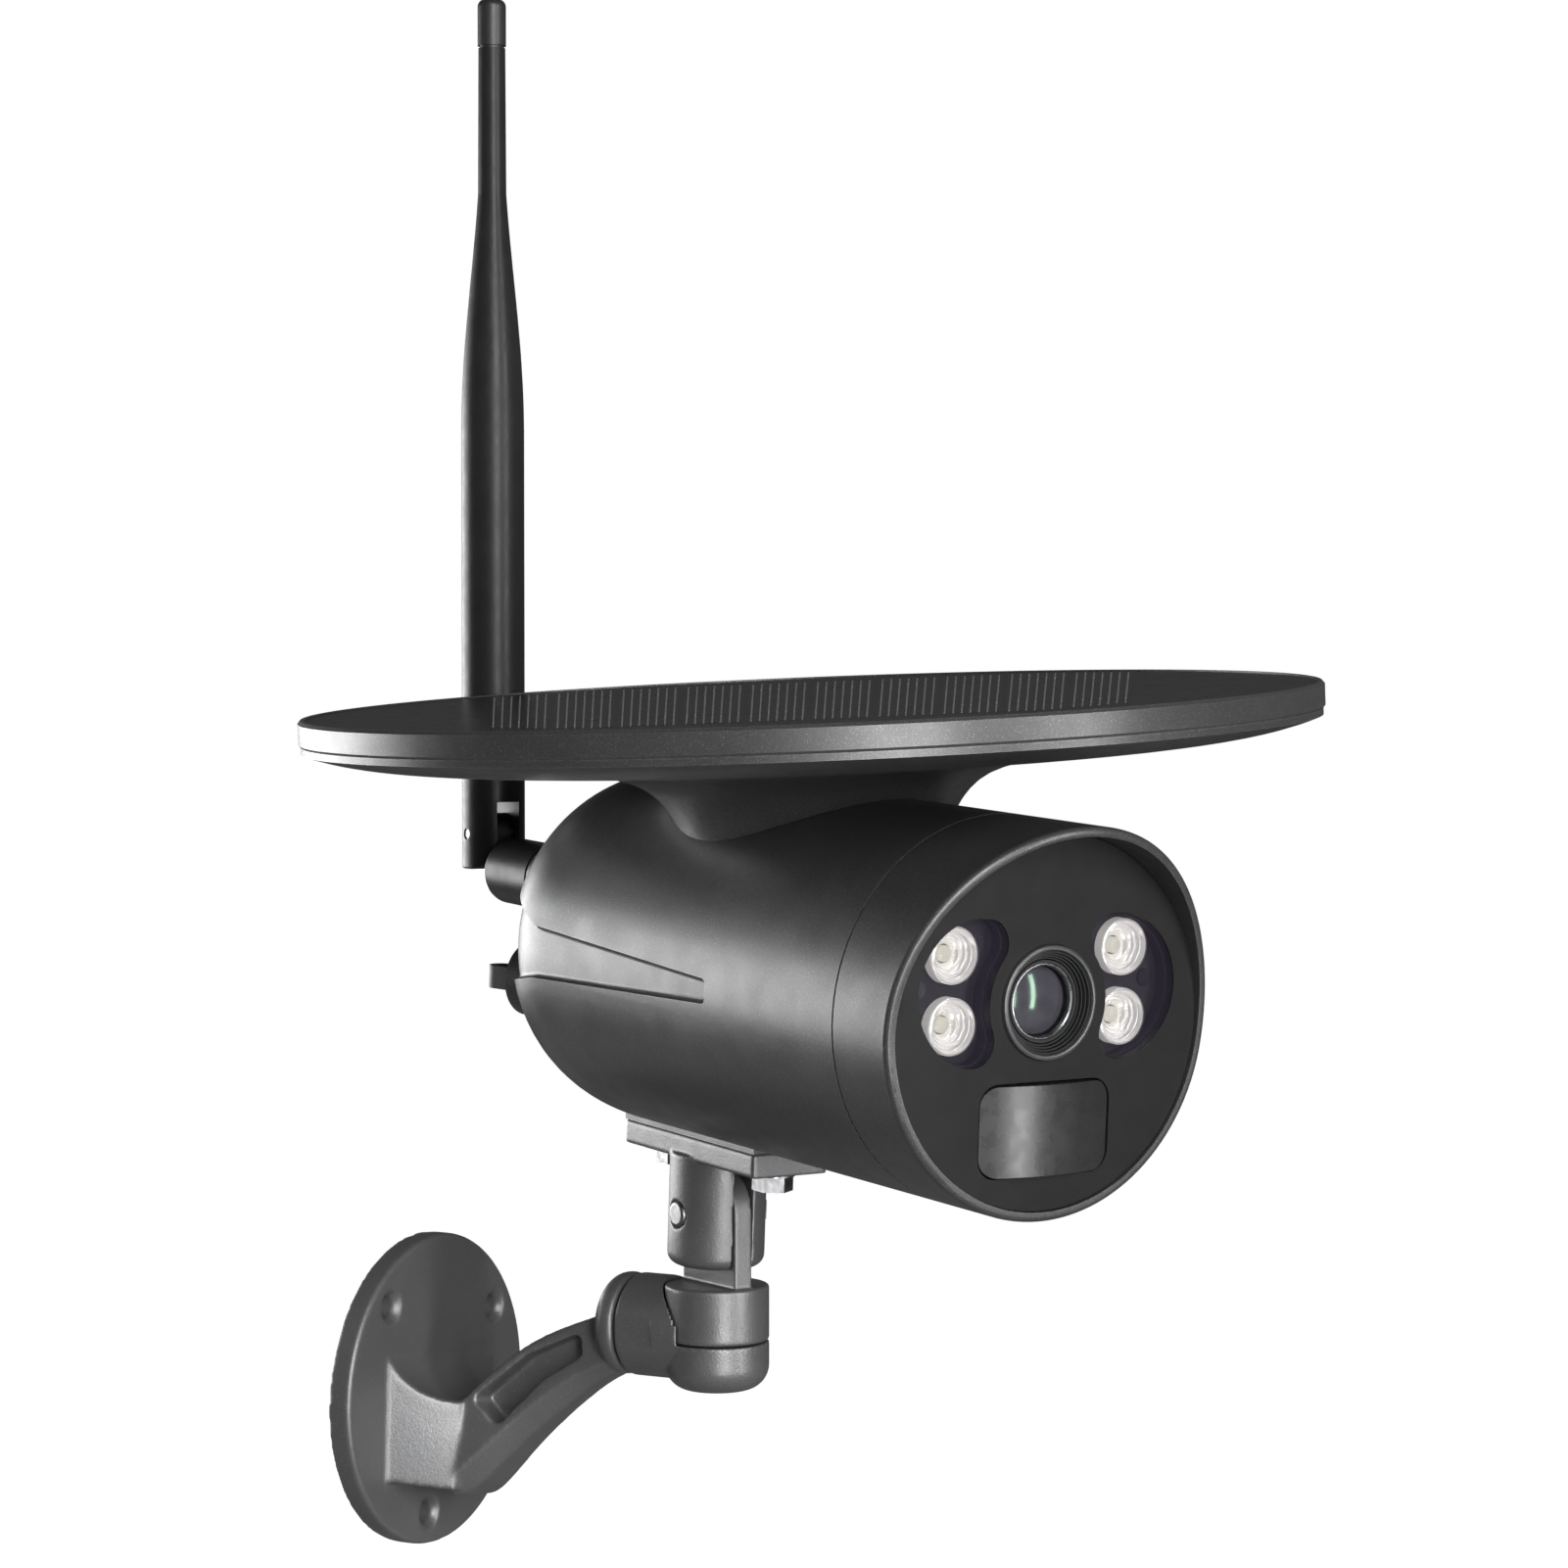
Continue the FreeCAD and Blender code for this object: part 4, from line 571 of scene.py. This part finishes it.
def plate(mesh, left, right, front, back, heights, rows=1):
    """Thin closed plate between two fanned lines. front and back give the y at its left and right."""
    levels = []
    for z in heights:
        grid = []
        for row in range(rows + 1):
            share = row / rows
            ends = [(left, front[0] + (back[0] - front[0]) * share),
                    (right, front[1] + (back[1] - front[1]) * share)]
            grid.append([mesh.verts.new((*fan(x, y), z)) for x, y in ends])
        levels.append(grid)
    bottom, top = levels
    for row in range(rows):
        mesh.faces.new((top[row][0], top[row][1], top[row + 1][1], top[row + 1][0]))
        mesh.faces.new((bottom[row][0], bottom[row + 1][0], bottom[row + 1][1], bottom[row][1]))
        for side in (0, 1):
            mesh.faces.new((top[row][side], top[row + 1][side], bottom[row + 1][side], bottom[row][side]))
    for row in (0, rows):
        mesh.faces.new((top[row][0], top[row][1], bottom[row][1], bottom[row][0]))


def row_spans(reach):
    """The three runs of a finger, front to back, between the row breaks."""
    edges = (-reach, -ROW_BREAK, ROW_BREAK, reach)
    return [(a + ROW_GAP / 2, b - ROW_GAP / 2) for a, b in zip(edges, edges[1:])]


def column_left(column):
    """Where the first finger of a column lies."""
    return (column - CELL_COLUMNS / 2) * COLUMN_PITCH + (COLUMN_PITCH - (FINGERS - 1) * FINGER_PITCH) / 2


def build_fingers(mesh):
    for column in range(CELL_COLUMNS):
        for finger in range(FINGERS):
            x = column_left(column) + finger * FINGER_PITCH
            left, right = x - FINGER_W / 2, x + FINGER_W / 2
            for front, back in row_spans(cell_reach(x) - FINGER_INSET):
                plate(mesh, left, right, (front, front), (back, back), FINGER_LEVELS)


def build_cells(mesh):
    for column in range(CELL_COLUMNS):
        left = column_left(column) - CELL_MARGIN
        right = left + (FINGERS - 1) * FINGER_PITCH + 2 * CELL_MARGIN
        spans = zip(row_spans(cell_reach(left)), row_spans(cell_reach(right)))
        for one, two in spans:
            plate(mesh, left, right, (one[0], two[0]), (one[1], two[1]), CELL_LEVELS, CELL_ROWS)


make_piece("solar_cells", build_cells, MATERIALS["solar_cell"], "camera_head", (), PANEL)
make_piece("cell_fingers", build_fingers, MATERIALS["silver_print"], "camera_head", (), PANEL)

# ---- view, floor and light ----------------------------------------------------------------------------

CAMERA_PLACE = Vector((-0.68287, -0.46502, 0.15103))
CAMERA_TURN = (88.19, 0.0, -61.02)
FOCAL = 91.436
SENSOR_WIDTH = 36.0
CLIP_END = 50
STUDIO_MIDDLE = Vector((-0.01, -0.09, 0.08))
AMBIENT = 0.10
FLOOR_DROP = 0.25
FLOOR_HALF = 6
FLOOR_COLOR = (0.22, 0.22, 0.22)
FLOOR_GLOW = 0.975
# Name, azimuth in degrees, distance and height from the studio's middle, width, power in watts, length.
LIGHTS = (("strip_right", 227, 1.1, 0.05, 0.32, 19.0, 1.3),
          ("strip_front", 264, 1.1, 0.05, 0.14, 9.0, 1.0),
          ("box_left", 84, 1.0, 0.03, 0.85, 9.0, 0.40),
          ("front_fill", 215, 1.5, 0.7, 0.9, 3.0, None))


def set_camera():
    data = bpy.data.cameras.new("camera")
    data.lens = FOCAL
    data.sensor_width = SENSOR_WIDTH
    data.clip_end = CLIP_END
    camera = bpy.data.objects.new("camera", data)
    camera.location = CAMERA_PLACE
    camera.rotation_euler = tuple(math.radians(a) for a in CAMERA_TURN)
    bpy.context.scene.collection.objects.link(camera)
    bpy.context.scene.camera = camera


def area_light(name, place, size, power, size_y):
    """A lamp that faces the middle of the object: square, or size by size_y."""
    data = bpy.data.lights.new(name, "AREA")
    data.energy = power
    data.size = size
    if size_y:
        data.shape = "RECTANGLE"
        data.size_y = size_y
    light = bpy.data.objects.new(name, data)
    light.location = place
    light.rotation_euler = (STUDIO_MIDDLE - place).to_track_quat("-Z", "Y").to_euler()
    bpy.context.scene.collection.objects.link(light)


def add_camera_glow(tree, shade, glow):
    """Returns a shader that adds an even white glow, in what the camera sees directly only."""
    path = tree.nodes.new("ShaderNodeLightPath")
    emission = tree.nodes.new("ShaderNodeEmission")
    emission.inputs["Color"].default_value = (1, 1, 1, 1)
    strength = tree.nodes.new("ShaderNodeMath")
    strength.operation = "MULTIPLY"
    strength.inputs[1].default_value = glow
    both = tree.nodes.new("ShaderNodeAddShader")
    tree.links.new(path.outputs["Is Camera Ray"], strength.inputs[0])
    tree.links.new(strength.outputs["Value"], emission.inputs["Strength"])
    tree.links.new(shade, both.inputs[0])
    tree.links.new(emission.outputs["Emission"], both.inputs[1])
    return both.outputs["Shader"]


def set_world():
    """Dim even light for the object, white behind it."""
    world = bpy.data.worlds.new("studio")
    world.use_nodes = True
    tree = world.node_tree
    background = tree.nodes["Background"]
    background.inputs["Color"].default_value = (1, 1, 1, 1)
    path = tree.nodes.new("ShaderNodeLightPath")
    level = tree.nodes.new("ShaderNodeMapRange")
    level.inputs["To Min"].default_value = AMBIENT
    level.inputs["To Max"].default_value = 1.0
    tree.links.new(path.outputs["Is Camera Ray"], level.inputs["Value"])
    tree.links.new(level.outputs["Result"], background.inputs["Strength"])
    bpy.context.scene.world = world


def set_floor():
    """Pale floor below the object, as white to the camera as the backdrop."""
    pale = Surface("floor", FLOOR_COLOR, 0.85, Specular_IOR_Level=0.1).vary(0.3, 0.01)
    output = pale.tree.nodes["Material Output"]
    glowing = add_camera_glow(pale.tree, pale.shader.outputs["BSDF"], FLOOR_GLOW)
    pale.link(glowing, output.inputs["Surface"])
    grid = bmesh.new()
    bmesh.ops.create_grid(grid, x_segments=2, y_segments=2, size=FLOOR_HALF)
    floor = add_object("floor", finish_mesh(grid, "floor"), pale.material)
    floor.location = (0, 0, cad_box[0][2] - FLOOR_DROP)


def round_the_object(azimuth, distance, height):
    """A place round the object: azimuth in degrees from +X, distance and height from its middle."""
    turn = math.radians(azimuth)
    return STUDIO_MIDDLE + Vector((distance * math.cos(turn), distance * math.sin(turn), height))


def set_studio():
    bpy.context.scene.view_settings.view_transform = "Standard"
    set_world()
    set_floor()
    for name, azimuth, distance, height, size, power, size_y in LIGHTS:
        area_light(name, round_the_object(azimuth, distance, height), size, power, size_y)


set_camera()
set_studio()
